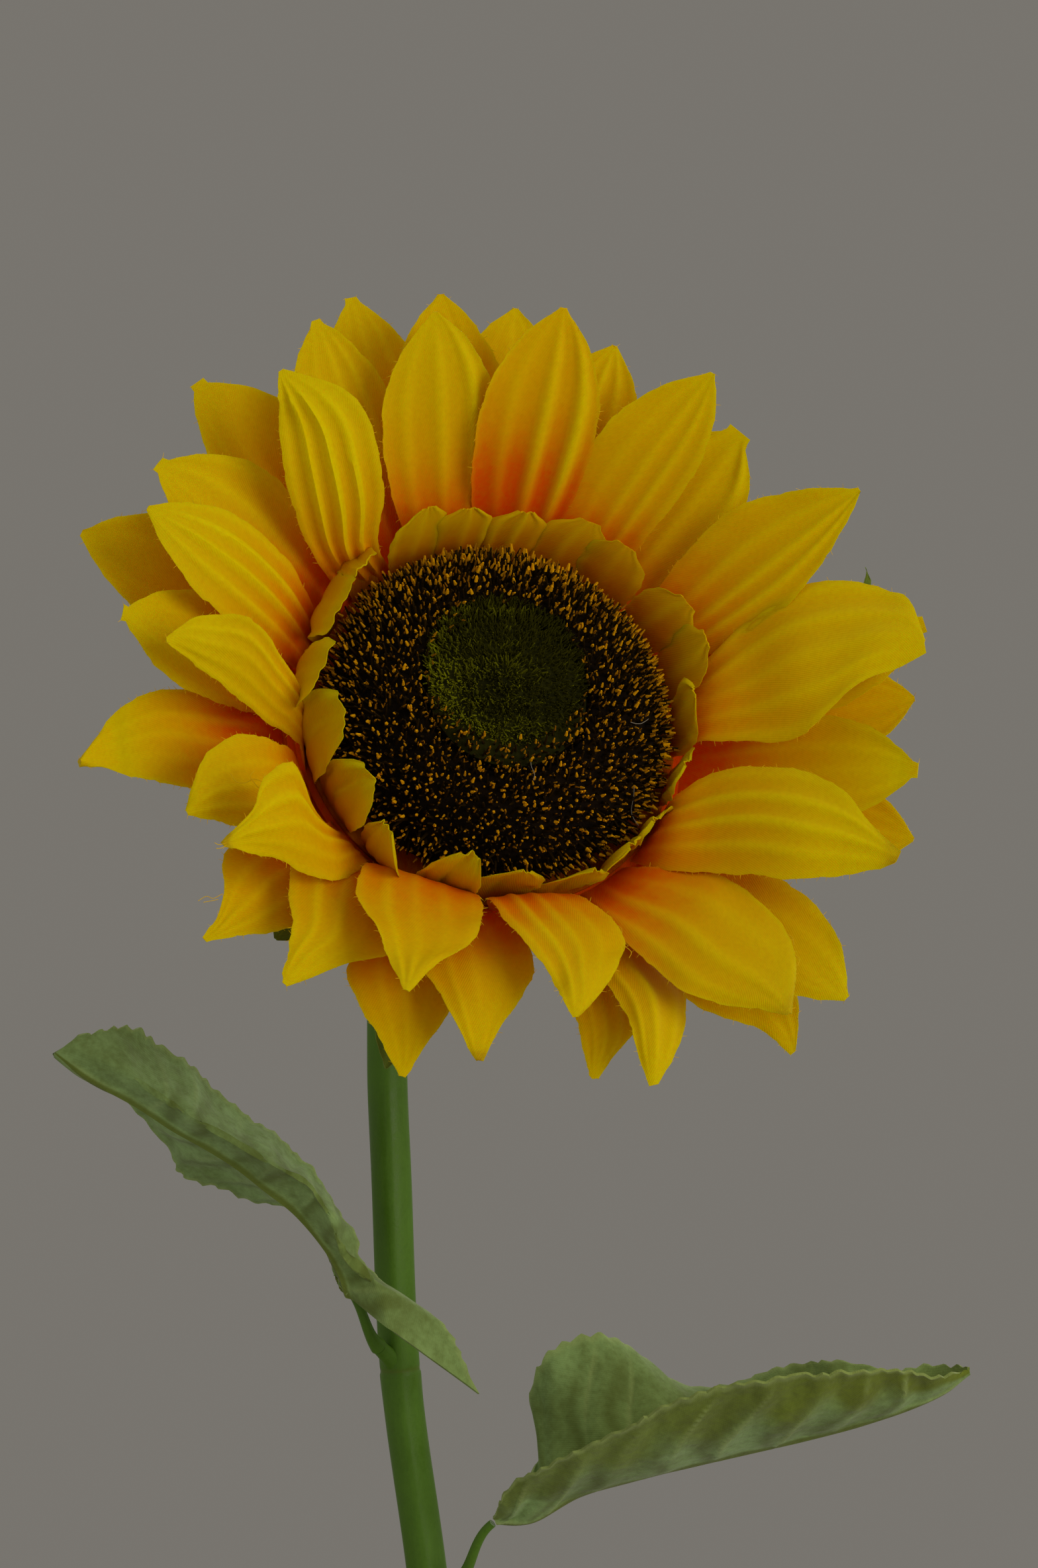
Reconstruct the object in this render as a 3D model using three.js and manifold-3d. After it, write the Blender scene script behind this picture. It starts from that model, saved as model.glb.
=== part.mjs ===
// An artificial sunflower on one green stem, standing in a plain round pot.
// Millimetres, +Z up. The origin is the middle of the pot's flat underside, and the bloom looks
// towards -Y, turned a little to the right (+X) and a little up.
import * as THREE from "three";
import { mergeVertices } from "three/addons/utils/BufferGeometryUtils.js";
import Module from "manifold-3d";

const wasm = await Module();
wasm.setup();

// Driving dimensions

const GAP = 0.3; // between neighbouring solids that rest on each other
const POT = { height: 120, rimRadius: 66, footRadius: 46, wall: 5, base: 7, band: 22, bandStep: 3, lip: 12 };
const FILL = { crown: 4, clearance: GAP };
const GROUND = POT.height - POT.lip; // the level of the potting surface at the stem

const STEM = { footRadius: 5.0, topRadius: 4.6, sides: 12, steps: 40 };
const STUB = { length: 9.5, climb: 0.7, radius: 2.9, tipRadius: 2.2 };
const STALK = { radius: 1.5, tipRadius: 1.1, sides: 8, steps: 10 };

// The bloom: its middle is the centre of the seed disc's underside.
const BLOOM = { x: 2.9, y: -40, z: 475.9, yaw: 13.5, pitch: 24 };
const DISC = { foot: 36, radius: 39, radiusHeight: 7, height: 21, hollowRadius: 18, hollowFloor: 17.5 };
const BUTTON = { radius: 17.4, crown: 22 };
const CUP = { radius: 27, neckRadius: 5.6, depth: 24, neck: 6 };
const WASHER = { inner: 10, thickness: 0.8 };
const LAYER = WASHER.thickness + GAP; // each die-cut layer sits this far behind the one in front
const ROOT_STEP = 1.5; // and its petals leave it this much farther out
const SINK = 1; // a petal starts this far inside its layer's edge
const RAY = { root: 42.6, thickness: 0.6, width: 26, widest: 0.56, blunt: 2.1, cup: 0.16, pleat: 0.55 };
const INNER = { root: 41.1, thickness: 0.6, width: 15, widest: 0.55, blunt: 3, cup: 0, pleat: 0, count: 20 };
const SEPAL = { root: 42.6, thickness: 0.6, width: 18, widest: 0.42, blunt: 1.4, cup: 0.1, pleat: 0, count: 13 };
const LEAF = { thickness: 1.1, lengthSteps: 12, acrossSteps: 6, tooth: 0.06 };

// Thirteen rays to a layer, as the die cuts them; each is then bent by hand, so each has its own set:
// azimuth in degrees from the bloom's right, reach of the tip from the axis, rise of the tip in front
// of the layer, lift in degrees where it leaves the layer, sideways sweep of the tip, and the width
// where it differs from the cut one because the blade is pressed flat or curled.
const FRONT_RAYS = [
  { azimuth: 98, reach: 85, rise: 38, lift: 48, sweep: 0 },
  { azimuth: 80, reach: 84, rise: 38, lift: 50, sweep: -1 },
  { azimuth: 54, reach: 83, rise: 38, lift: 50, sweep: -2, width: 29 },
  { azimuth: 27, reach: 86, rise: 38, lift: 46, sweep: 2, width: 28 },
  { azimuth: 2, reach: 88, rise: 38, lift: 46, sweep: 3, width: 31 },
  { azimuth: -32, reach: 88, rise: 38, lift: 48, sweep: -3, width: 32 },
  { azimuth: -59, reach: 91, rise: 36, lift: 50, sweep: -4, width: 30 },
  { azimuth: -88, reach: 78, rise: 35, lift: 66, sweep: -3 },
  { azimuth: -113, reach: 78, rise: 34, lift: 72, sweep: 0 },
  { azimuth: -147, reach: 77, rise: 34, lift: 74, sweep: 3 },
  { azimuth: 177, reach: 74, rise: 36, lift: 70, sweep: 3 },
  { azimuth: 153, reach: 84, rise: 35, lift: 60, sweep: 4 },
  { azimuth: 125, reach: 82, rise: 38, lift: 54, sweep: 4 },
];
const MIDDLE_RAYS = [
  { azimuth: 94, reach: 93, rise: 28, lift: 34, sweep: 0 },
  { azimuth: 69, reach: 87, rise: 28, lift: 36, sweep: -1 },
  { azimuth: 45, reach: 83, rise: 28, lift: 36, sweep: 1 },
  { azimuth: 9, reach: 94, rise: 28, lift: 34, sweep: -1 },
  { azimuth: -13, reach: 89, rise: 28, lift: 34, sweep: -1 },
  { azimuth: -48, reach: 97, rise: 28, lift: 36, sweep: -3 },
  { azimuth: -76, reach: 92, rise: 26, lift: 40, sweep: -2 },
  { azimuth: -100, reach: 86, rise: 26, lift: 42, sweep: 0 },
  { azimuth: -128, reach: 86, rise: 25, lift: 44, sweep: 2 },
  { azimuth: -157, reach: 78, rise: 25, lift: 48, sweep: 2 },
  { azimuth: 168, reach: 83, rise: 27, lift: 44, sweep: 3 },
  { azimuth: 145, reach: 88, rise: 27, lift: 38, sweep: 3 },
  { azimuth: 113, reach: 93, rise: 28, lift: 34, sweep: 3 },
];
const BACK_RAYS = [
  { azimuth: 83, reach: 97, rise: 19, lift: 20, sweep: 0 },
  { azimuth: 60, reach: 84, rise: 19, lift: 22, sweep: 0 },
  { azimuth: 29, reach: 82, rise: 19, lift: 22, sweep: 0 },
  { azimuth: 1, reach: 92, rise: 19, lift: 20, sweep: -1 },
  { azimuth: -20, reach: 93, rise: 19, lift: 20, sweep: -1 },
  { azimuth: -56, reach: 97, rise: 18, lift: 20, sweep: -2 },
  { azimuth: -82, reach: 86, rise: 17, lift: 24, sweep: 0 },
  { azimuth: -109, reach: 88, rise: 17, lift: 24, sweep: 0 },
  { azimuth: -141, reach: 86, rise: 17, lift: 24, sweep: 2 },
  { azimuth: -170, reach: 92, rise: 18, lift: 22, sweep: 0 },
  { azimuth: 156, reach: 96, rise: 18, lift: 22, sweep: 2 },
  { azimuth: 129, reach: 97, rise: 19, lift: 20, sweep: 2 },
  { azimuth: 105, reach: 101, rise: 19, lift: 20, sweep: 2 },
];

// The stem's middle line, from its flat cut at the potting surface to the bend under the bloom.
const STEM_LINE = [
  [1, 0, GROUND + GAP],
  [0.5, 0, 160],
  [-3.5, 0, 220],
  [-11.8, 1, 288],
  [-17.5, 2, 330],
  [-19.6, 2, 375],
  [-20.6, 3, 402],
  [-19.6, 4.3, 434],
  [-15.5, 1.6, 451],
];

// Each leaf: the height of its node on the stem, how far short of the blade's base its stalk ends,
// the blade's base and tip, how far the midrib bows,
// the half-width, how blunt the tip is, and the upper face's direction. Seen from the stem, each half
// is three strips, from the midrib out; their angles above the blade's plane are given in degrees at
// the base, the middle and the tip. The heel is the share of the width it has at the base, and its
// lobe reaches back past the stalk and up by the two distances given.
const LEAVES = {
  left: {
    node: 332,
    stalkShort: 2.3,
    base: [-29, -14, 352.2],
    tip: [-91, -40, 405.6],
    bow: 6.5,
    halfWidth: 28,
    blunt: 3.4,
    face: [0.65, 0, 0.75],
    leftHalf: { base: [20, 140, 170], middle: [20, 140, 160], tip: [0, 80, 110], heel: 0.6, lobe: [39, -10] },
    rightHalf: { base: [12, 8, 5], middle: [-24, -30, -26], tip: [16, 10, 5], heel: 0.5, lobe: [0, 0] },
  },
  right: {
    node: 279,
    stalkShort: 0.5,
    base: [3.5, -12, 299.3],
    tip: [109, -22, 335.3],
    bow: -2,
    halfWidth: 36,
    blunt: 1.7,
    face: [-0.3, 0, 0.95],
    leftHalf: { base: [75, 90, 95], middle: [16, 20, 22], tip: [45, 50, 55], heel: 0.85, lobe: [-20, 0] },
    rightHalf: { base: [24, 26, 30], middle: [38, 40, 42], tip: [50, 55, 60], heel: 0.45, lobe: [-2, 0] },
  },
  low: {
    node: 222,
    stalkShort: 1.15,
    base: [-22, 14, 244],
    tip: [-100, 46, 256],
    bow: 9,
    halfWidth: 31,
    blunt: 1.9,
    face: [0.1, -0.1, 1],
    leftHalf: { base: [30, 20, 10], middle: [18, 8, -6], tip: [14, 4, -10], heel: 0.6, lobe: [10, 0] },
    rightHalf: { base: [30, 20, 10], middle: [18, 8, -6], tip: [14, 4, -10], heel: 0.6, lobe: [10, 0] },
  },
};

// Finishes

function finish(color, roughness) {
  return new THREE.MeshStandardMaterial({ color, roughness, metalness: 0 });
}
const FINISHES = {
  ray: finish(0xe0b010, 0.75),
  inner: finish(0xc8961a, 0.75),
  seed: finish(0x1c1206, 0.9),
  button: finish(0x3a4412, 0.95),
  leaf: finish(0x7c9060, 0.85),
  sepal: finish(0x5f7a32, 0.85),
  stem: finish(0x4f7a35, 0.55),
  pot: finish(0xb4683f, 0.85),
  fill: finish(0x3a2a1c, 0.95),
};

// Small helpers

const rad = THREE.MathUtils.degToRad;
const mix = THREE.MathUtils.lerp;
const point = (list) => new THREE.Vector3(...list);

function meshNamed(name, geometry, material) {
  const mesh = new THREE.Mesh(geometry, material);
  mesh.name = name;
  return mesh;
}

// A closed mesh's merged triangles as a solid that can be joined and cut.
function solidOf(geometry) {
  const bare = geometry.clone();
  bare.deleteAttribute("normal");
  bare.deleteAttribute("uv");
  const merged = mergeVertices(bare, 1e-4);
  return new wasm.Manifold(
    new wasm.Mesh({
      numProp: 3,
      vertProperties: new Float32Array(merged.attributes.position.array),
      triVerts: new Uint32Array(merged.index.array),
    }),
  );
}

function geometryOf(solid) {
  const mesh = solid.getMesh();
  const position = new Float32Array(mesh.numVert * 3);
  for (let i = 0; i < mesh.numVert; i++) {
    position.set(mesh.vertProperties.subarray(i * mesh.numProp, i * mesh.numProp + 3), i * 3);
  }
  const geometry = new THREE.BufferGeometry();
  geometry.setAttribute("position", new THREE.BufferAttribute(position, 3));
  geometry.setIndex(new THREE.BufferAttribute(new Uint32Array(mesh.triVerts), 1));
  geometry.computeVertexNormals();
  return geometry;
}

function joined(geometries) {
  let whole = solidOf(geometries[0]);
  for (const geometry of geometries.slice(1)) whole = whole.add(solidOf(geometry));
  return geometryOf(whole);
}

function indexed(positions, faces) {
  const geometry = new THREE.BufferGeometry();
  geometry.setAttribute("position", new THREE.Float32BufferAttribute(positions, 3));
  geometry.setIndex(faces);
  geometry.computeVertexNormals();
  return geometry;
}

// A thin closed blade from a surface: at(u, v) gives its middle, u along from 0 to 1 and v across
// from -1 to 1. The front is the side that (along x across) points to.
function blade(at, alongSteps, acrossSteps, thickness) {
  const middle = [];
  for (let i = 0; i <= alongSteps; i++) {
    middle.push([]);
    for (let j = 0; j <= acrossSteps; j++) {
      middle[i].push(at(i / alongSteps, (2 * j) / acrossSteps - 1));
    }
  }
  const normalAt = (i, j) => {
    const along = middle[Math.min(i + 1, alongSteps)][j].clone().sub(middle[Math.max(i - 1, 0)][j]);
    const across = middle[i][Math.min(j + 1, acrossSteps)].clone().sub(middle[i][Math.max(j - 1, 0)]);
    return along.cross(across).normalize();
  };
  const positions = [];
  for (const side of [0.5, -0.5]) {
    for (let i = 0; i <= alongSteps; i++) {
      for (let j = 0; j <= acrossSteps; j++) {
        const p = middle[i][j].clone().addScaledVector(normalAt(i, j), side * thickness);
        positions.push(p.x, p.y, p.z);
      }
    }
  }
  const row = acrossSteps + 1;
  const back = (alongSteps + 1) * row;
  const faces = [];
  const quad = (a, b, c, d) => faces.push(a, b, c, a, c, d);
  for (let i = 0; i < alongSteps; i++) {
    for (let j = 0; j < acrossSteps; j++) {
      const a = i * row + j;
      quad(a, a + row, a + row + 1, a + 1);
      quad(back + a, back + a + 1, back + a + row + 1, back + a + row);
    }
    const left = i * row;
    const right = i * row + acrossSteps;
    quad(left, back + left, back + left + row, left + row);
    quad(right, right + row, back + right + row, back + right);
  }
  for (let j = 0; j < acrossSteps; j++) {
    const last = alongSteps * row + j;
    quad(j, j + 1, back + j + 1, back + j);
    quad(last, back + last, back + last + 1, last + 1);
  }
  return indexed(positions, faces);
}

// A closed round limb along a curve, with a radius for each place along it.
function limb(curve, radiusAt, sides, steps) {
  const frames = curve.computeFrenetFrames(steps, false);
  const positions = [];
  for (let i = 0; i <= steps; i++) {
    const centre = curve.getPointAt(i / steps);
    for (let k = 0; k < sides; k++) {
      const turn = (2 * Math.PI * k) / sides;
      const p = centre
        .clone()
        .addScaledVector(frames.normals[i], radiusAt(i / steps) * Math.cos(turn))
        .addScaledVector(frames.binormals[i], radiusAt(i / steps) * Math.sin(turn));
      positions.push(p.x, p.y, p.z);
    }
  }
  const first = curve.getPointAt(0);
  const last = curve.getPointAt(1);
  positions.push(first.x, first.y, first.z, last.x, last.y, last.z);
  const firstIndex = (steps + 1) * sides;
  const faces = [];
  for (let i = 0; i < steps; i++) {
    for (let k = 0; k < sides; k++) {
      const a = i * sides + k;
      const b = i * sides + ((k + 1) % sides);
      faces.push(a, b, b + sides, a, b + sides, a + sides);
    }
  }
  for (let k = 0; k < sides; k++) {
    const next = (k + 1) % sides;
    faces.push(firstIndex, next, k);
    faces.push(firstIndex + 1, steps * sides + k, steps * sides + next);
  }
  return indexed(positions, faces);
}

// A solid of revolution about +Z from a closed profile of [radius, height] pairs.
function turned(profile, segments) {
  const points = profile.map(([r, h]) => new THREE.Vector2(r, h));
  return new THREE.LatheGeometry(points, segments).rotateX(Math.PI / 2);
}

// The bloom, in its own frame: x to its right, y up its face, z out of its face

const bloom = new THREE.Group();
const facing = new THREE.Vector3(
  Math.sin(rad(BLOOM.yaw)) * Math.cos(rad(BLOOM.pitch)),
  -Math.cos(rad(BLOOM.yaw)) * Math.cos(rad(BLOOM.pitch)),
  Math.sin(rad(BLOOM.pitch)),
);
const bloomRight = new THREE.Vector3(0, 0, 1).cross(facing).normalize();
const bloomUp = facing.clone().cross(bloomRight);
bloom.applyMatrix4(
  new THREE.Matrix4().makeBasis(bloomRight, bloomUp, facing).setPosition(BLOOM.x, BLOOM.y, BLOOM.z),
);

// Width share of a petal along its length: a narrow foot, widest past the middle, then the tip.
function petalWidth(u, kind) {
  if (u < kind.widest) return mix(0.5, 1, Math.sin((Math.PI / 2) * (u / kind.widest)));
  return Math.max(0.03, 1 - Math.pow((u - kind.widest) / (1 - kind.widest), kind.blunt));
}

// One petal's surface: a curve that leaves the layer at the lift angle and ends at the reach and
// rise, cupped and pleated across.
function petalSurface(kind, set, start, level) {
  const chord = Math.hypot(set.reach - start, set.rise);
  const handleRadius = start + 0.5 * chord * Math.cos(rad(set.lift));
  const handleRise = 0.5 * chord * Math.sin(rad(set.lift));
  const out = new THREE.Vector3(Math.cos(rad(set.azimuth)), Math.sin(rad(set.azimuth)), 0);
  const side = new THREE.Vector3(-out.y, out.x, 0);
  const front = new THREE.Vector3(0, 0, 1);
  return (u, v) => {
    const radius = (1 - u) ** 2 * start + 2 * u * (1 - u) * handleRadius + u * u * set.reach;
    const rise = 2 * u * (1 - u) * handleRise + u * u * set.rise;
    const slope = Math.atan2(
      mix(handleRise, set.rise - handleRise, u),
      mix(handleRadius - start, set.reach - handleRadius, u),
    );
    const half = ((set.width ?? kind.width) / 2) * petalWidth(u, kind);
    const cup = kind.cup * half * v * v * Math.min(1, 3 * u);
    const pleat = kind.pleat * Math.cos(2 * Math.PI * v) * Math.sin(Math.PI * u);
    return out
      .clone()
      .multiplyScalar(radius - (cup + pleat) * Math.sin(slope))
      .addScaledVector(side, half * v + (set.sweep ?? 0) * u * u)
      .addScaledVector(front, level + rise + (cup + pleat) * Math.cos(slope));
  };
}

// One die-cut layer: a washer round the bloom's axis with its petals fused on.
function petalLayer(name, kind, sets, layer, alongSteps, acrossSteps, material) {
  const top = -GAP - layer * LAYER;
  const bottom = top - WASHER.thickness;
  const root = kind.root + Math.max(0, layer - 1) * ROOT_STEP;
  const washer = turned(
    [
      [WASHER.inner, bottom],
      [root, bottom],
      [root, top],
      [WASHER.inner, top],
      [WASHER.inner, bottom],
    ],
    24,
  );
  const level = (top + bottom) / 2;
  const petals = sets.map((set) =>
    blade(petalSurface(kind, set, root - SINK, level), alongSteps, acrossSteps, kind.thickness),
  );
  return meshNamed(name, joined([washer, ...petals]), material);
}

// The short inner petals hug the disc: those on the lower left stand up and lean in over its
// shoulder, those on the upper right lean out.
function innerPetals() {
  const sets = [];
  for (let i = 0; i < INNER.count; i++) {
    const azimuth = (360 / INNER.count) * i + 5 * Math.sin(2.3 * i);
    const leanOut = Math.pow(0.5 + 0.5 * Math.cos(rad(azimuth - 45)), 1.5);
    sets.push({
      azimuth,
      reach: mix(38.9, 53, leanOut) + 0.7 * Math.sin(1.7 * i),
      rise: mix(22, 16, leanOut) + Math.sin(2.9 * i),
      lift: mix(91, 72, leanOut),
      sweep: 1.5 * Math.sin(3.1 * i),
    });
  }
  return petalLayer("inner_petals", INNER, sets, 0, 4, 2, FINISHES.inner);
}

// The sepals stay short behind the rays, but for one on the right that reaches past them.
function sepals() {
  const sets = [{ azimuth: 21, reach: 92, rise: 12, lift: 8 }];
  for (let i = 1; i < SEPAL.count; i++) {
    sets.push({
      azimuth: 15 + (360 / SEPAL.count) * i + 3 * Math.sin(1.9 * i),
      reach: 66 + 3 * Math.sin(2.7 * i),
      rise: 4 + Math.sin(1.3 * i),
      lift: 8,
      sweep: 2 * Math.sin(2.2 * i),
    });
  }
  return petalLayer("sepals", SEPAL, sets, 4, 5, 2, FINISHES.sepal);
}

// The seed disc: a dome with a shallow round hollow in the middle, which holds the green button.
function seedDisc() {
  return meshNamed(
    "seed_disc",
    turned(
      [
        [0, 0],
        [DISC.foot, 0],
        [DISC.radius, DISC.radiusHeight],
        [DISC.radius - 1.1, 12],
        [DISC.radius - 5, 16.5],
        [DISC.radius - 11.5, 19.6],
        [DISC.hollowRadius + 2, DISC.height],
        [DISC.hollowRadius, DISC.height - 0.4],
        [DISC.hollowRadius, DISC.hollowFloor],
        [0, DISC.hollowFloor],
      ],
      36,
    ),
    FINISHES.seed,
  );
}

function greenButton() {
  const floor = DISC.hollowFloor + GAP;
  return meshNamed(
    "disc_button",
    turned(
      [
        [0, floor],
        [BUTTON.radius, floor],
        [BUTTON.radius, BUTTON.crown - 1.6],
        [BUTTON.radius * 0.72, BUTTON.crown - 0.3],
        [0, BUTTON.crown],
      ],
      24,
    ),
    FINISHES.button,
  );
}

// The moulded cup behind the petals, narrowing to the socket that takes the stem.
function calyxCup() {
  const top = -GAP - 5 * LAYER;
  return meshNamed(
    "calyx_cup",
    turned(
      [
        [0, top - CUP.depth],
        [CUP.neckRadius, top - CUP.depth],
        [CUP.neckRadius, top - CUP.depth + CUP.neck],
        [10, top - CUP.depth + CUP.neck + 3],
        [19, top - 9],
        [CUP.radius - 1.5, top - 3],
        [CUP.radius, top],
        [0, top],
      ],
      24,
    ),
    FINISHES.sepal,
  );
}

// The stem, its leaf stubs, and the leaves

const cupBack = -GAP - 5 * LAYER - CUP.depth - GAP;
const bloomMiddle = new THREE.Vector3(BLOOM.x, BLOOM.y, BLOOM.z);
const stemEnd = bloomMiddle.clone().addScaledVector(facing, cupBack);
const stemCurve = new THREE.CatmullRomCurve3([
  ...STEM_LINE.map(point),
  stemEnd.clone().addScaledVector(facing, -9),
  stemEnd,
]);

// The place on the stem's middle line at a height, for the stubs.
function stemAt(height) {
  let best = stemCurve.getPointAt(0);
  for (let i = 0; i <= 400; i++) {
    const p = stemCurve.getPointAt(i / 400);
    if (Math.abs(p.z - height) < Math.abs(best.z - height)) best = p;
  }
  return best;
}

// A stalk leaves its stub outwards and upwards and bends to meet the blade's base.
function stalkCurve(leaf) {
  const root = stemAt(leaf.node);
  const base = point(leaf.base);
  const out = base.clone().sub(root);
  const way = new THREE.Vector3(out.x, out.y, Math.hypot(out.x, out.y) * STUB.climb).normalize();
  const stubEnd = root.clone().addScaledVector(way, STUB.length);
  const start = stubEnd.clone().addScaledVector(way, GAP);
  const arrive = point(leaf.tip).sub(base).normalize().add(base.clone().sub(start).normalize()).normalize();
  const end = base.clone().addScaledVector(arrive, -leaf.stalkShort);
  const bend = start.distanceTo(end) * 0.35;
  return {
    root,
    stubEnd,
    curve: new THREE.CubicBezierCurve3(
      start,
      start.clone().addScaledVector(way, bend),
      end.clone().addScaledVector(arrive, -bend),
      end,
    ),
  };
}

function stem() {
  const taper = (u) => mix(STEM.footRadius, STEM.topRadius, Math.min(1, u * 2));
  const pieces = [limb(stemCurve, taper, STEM.sides, STEM.steps)];
  for (const leaf of Object.values(LEAVES)) {
    const { root, stubEnd } = stalkCurve(leaf);
    const stub = new THREE.LineCurve3(root, stubEnd);
    pieces.push(limb(stub, (u) => mix(STUB.radius, STUB.tipRadius, u), STALK.sides, 1));
  }
  return meshNamed("stem", joined(pieces), FINISHES.stem);
}

function leafStalk(side, leaf) {
  const radiusAt = (u) => mix(STALK.radius, STALK.tipRadius, u);
  return meshNamed(
    "leaf_stalk_" + side,
    limb(stalkCurve(leaf).curve, radiusAt, STALK.sides, STALK.steps),
    FINISHES.stem,
  );
}

// Half-width share of a leaf blade: a broad heart with a pointed tip.
function leafWidth(u, heel, blunt) {
  if (u < 0.3) return mix(heel, 1, Math.sin((Math.PI / 2) * (u / 0.3)));
  return Math.max(0.03, 1 - Math.pow((u - 0.3) / 0.7, blunt));
}

// The angle of one strip of a half, between its values at the base, the middle and the tip.
function stripAngle(half, strip, u) {
  if (u < 0.5) return rad(mix(half.base[strip], half.middle[strip], 2 * u));
  return rad(mix(half.middle[strip], half.tip[strip], 2 * u - 1));
}

function leafSurface(leaf) {
  const base = point(leaf.base);
  const tip = point(leaf.tip);
  const upper = point(leaf.face).normalize();
  const handle = base.clone().add(tip).multiplyScalar(0.5).addScaledVector(upper, 2 * leaf.bow);
  const rib = new THREE.QuadraticBezierCurve3(base, handle, tip);
  const back = base.clone().sub(tip).normalize();
  return (u, v) => {
    const tangent = rib.getTangent(u);
    const face = upper.clone().addScaledVector(tangent, -upper.dot(tangent)).normalize();
    const side = face.clone().cross(tangent).multiplyScalar(Math.sign(v));
    const half = v > 0 ? leaf.leftHalf : leaf.rightHalf;
    const away = Math.abs(v);
    const tooth = away > 0.99 ? LEAF.tooth * Math.cos(Math.PI * u * LEAF.lengthSteps) : 0;
    const strip = (leaf.halfWidth / 3) * leafWidth(u, half.heel, leaf.blunt) * (1 + tooth);
    const lobe = Math.pow(1 - u, 5) * away;
    const place = rib.getPoint(u).addScaledVector(back, half.lobe[0] * lobe);
    place.addScaledVector(face, half.lobe[1] * lobe);
    for (let k = 0; k < 3; k++) {
      const length = strip * THREE.MathUtils.clamp(3 * away - k, 0, 1);
      const angle = stripAngle(half, k, u);
      place.addScaledVector(side, length * Math.cos(angle)).addScaledVector(face, length * Math.sin(angle));
    }
    return place;
  };
}

function leafBlade(side, leaf) {
  return meshNamed(
    "leaf_blade_" + side,
    blade(leafSurface(leaf), LEAF.lengthSteps, LEAF.acrossSteps, LEAF.thickness),
    FINISHES.leaf,
  );
}

// The pot and what fills it

function potRadius(height) {
  return mix(POT.footRadius, POT.rimRadius - POT.bandStep, height / POT.height);
}

function pot() {
  const bandFoot = POT.height - POT.band;
  return meshNamed(
    "pot",
    turned(
      [
        [0, 0],
        [POT.footRadius - 1.5, 0],
        [POT.footRadius, 1.5],
        [potRadius(bandFoot), bandFoot],
        [potRadius(bandFoot) + POT.bandStep, bandFoot + 1],
        [POT.rimRadius - 1, POT.height - 1],
        [POT.rimRadius - 2.5, POT.height],
        [POT.rimRadius - POT.wall, POT.height],
        [potRadius(POT.height) - POT.wall, POT.height - 4],
        [potRadius(POT.base) - POT.wall, POT.base],
        [0, POT.base],
      ],
      48,
    ),
    FINISHES.pot,
  );
}

function potFill() {
  const radiusAt = (height) => potRadius(height) - POT.wall - FILL.clearance;
  const edge = GROUND - FILL.crown;
  const floor = POT.base + GAP;
  return meshNamed(
    "pot_fill",
    turned(
      [
        [0, floor],
        [radiusAt(floor) - 0.4, floor],
        [radiusAt(edge) - 0.4, edge],
        [radiusAt(edge) * 0.6, edge + FILL.crown * 0.7],
        [STEM.footRadius + 3, GROUND],
        [0, GROUND],
      ],
      36,
    ),
    FINISHES.fill,
  );
}

const plant = new THREE.Group();
bloom.add(
  seedDisc(),
  greenButton(),
  innerPetals(),
  petalLayer("rays_front", RAY, FRONT_RAYS, 1, 6, 4, FINISHES.ray),
  petalLayer("rays_middle", RAY, MIDDLE_RAYS, 2, 6, 4, FINISHES.ray),
  petalLayer("rays_back", RAY, BACK_RAYS, 3, 6, 4, FINISHES.ray),
  sepals(),
  calyxCup(),
);
plant.add(pot(), potFill(), stem(), bloom);
for (const [side, leaf] of Object.entries(LEAVES)) plant.add(leafStalk(side, leaf), leafBlade(side, leaf));

export default plant;
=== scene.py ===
import logging
import math
from dataclasses import dataclass, field
from enum import Enum
from typing import Any, Callable, Sequence

import bpy
import numpy as np
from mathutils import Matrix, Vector


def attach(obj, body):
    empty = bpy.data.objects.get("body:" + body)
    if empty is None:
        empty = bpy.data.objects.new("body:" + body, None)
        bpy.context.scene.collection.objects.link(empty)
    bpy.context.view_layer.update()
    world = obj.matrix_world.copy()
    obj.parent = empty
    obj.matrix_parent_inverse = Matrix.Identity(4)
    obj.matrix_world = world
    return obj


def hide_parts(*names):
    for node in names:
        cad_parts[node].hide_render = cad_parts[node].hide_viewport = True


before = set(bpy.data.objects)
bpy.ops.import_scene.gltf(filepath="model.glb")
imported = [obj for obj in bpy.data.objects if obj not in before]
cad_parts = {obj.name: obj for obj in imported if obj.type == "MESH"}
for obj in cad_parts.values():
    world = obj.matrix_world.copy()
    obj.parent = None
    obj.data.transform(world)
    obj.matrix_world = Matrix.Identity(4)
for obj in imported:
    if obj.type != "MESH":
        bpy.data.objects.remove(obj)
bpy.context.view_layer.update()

Array = np.ndarray
Colour = tuple[float, float, float]
Triple = tuple[float, float, float]
Faces = list[list[int]]
Pairs = list[tuple[float, float]]
Grids = tuple[Array, Array, Array]
Thing = bpy.types.Object
Material = bpy.types.Material
Tree = bpy.types.NodeTree
Socket = bpy.types.NodeSocket

MM = 0.001  # metres in a millimetre
GAP = 0.3  # between pieces that are glued together on the real flower
LAYER = 1.1  # from one petal layer to the next
WASHER = 0.8  # how thick a layer's washer is
ROOT_STEP = 1.5  # how much wider each layer's washer is
GROUND = 108.0  # the potting surface
GOLDEN = math.radians(137.508)  # the turn from one seed to the next
log = logging.getLogger("sunflower")


# Small sums


def unit(vector: Sequence[float] | Array) -> Array:
    """A vector of length one along the given one."""
    vector = np.asarray(vector, float)
    return vector / (np.linalg.norm(vector, axis=-1, keepdims=True) + 1e-12)


def mix(first: Any, last: Any, share: Any) -> Any:
    """The value between two others at a share of the way."""
    return first + (last - first) * share


def ease(share: Array | float) -> Array:
    """A share from 0 to 1 that starts and stops gently."""
    share = np.clip(share, 0, 1)
    return share * share * (3 - 2 * share)


def polar(reach: Any, turn: Any, height: Any) -> Array:
    """Places about the axis from their reach, their angle and their height."""
    return np.stack(np.broadcast_arrays(reach * np.cos(turn), reach * np.sin(turn), height), axis=-1)


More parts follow.
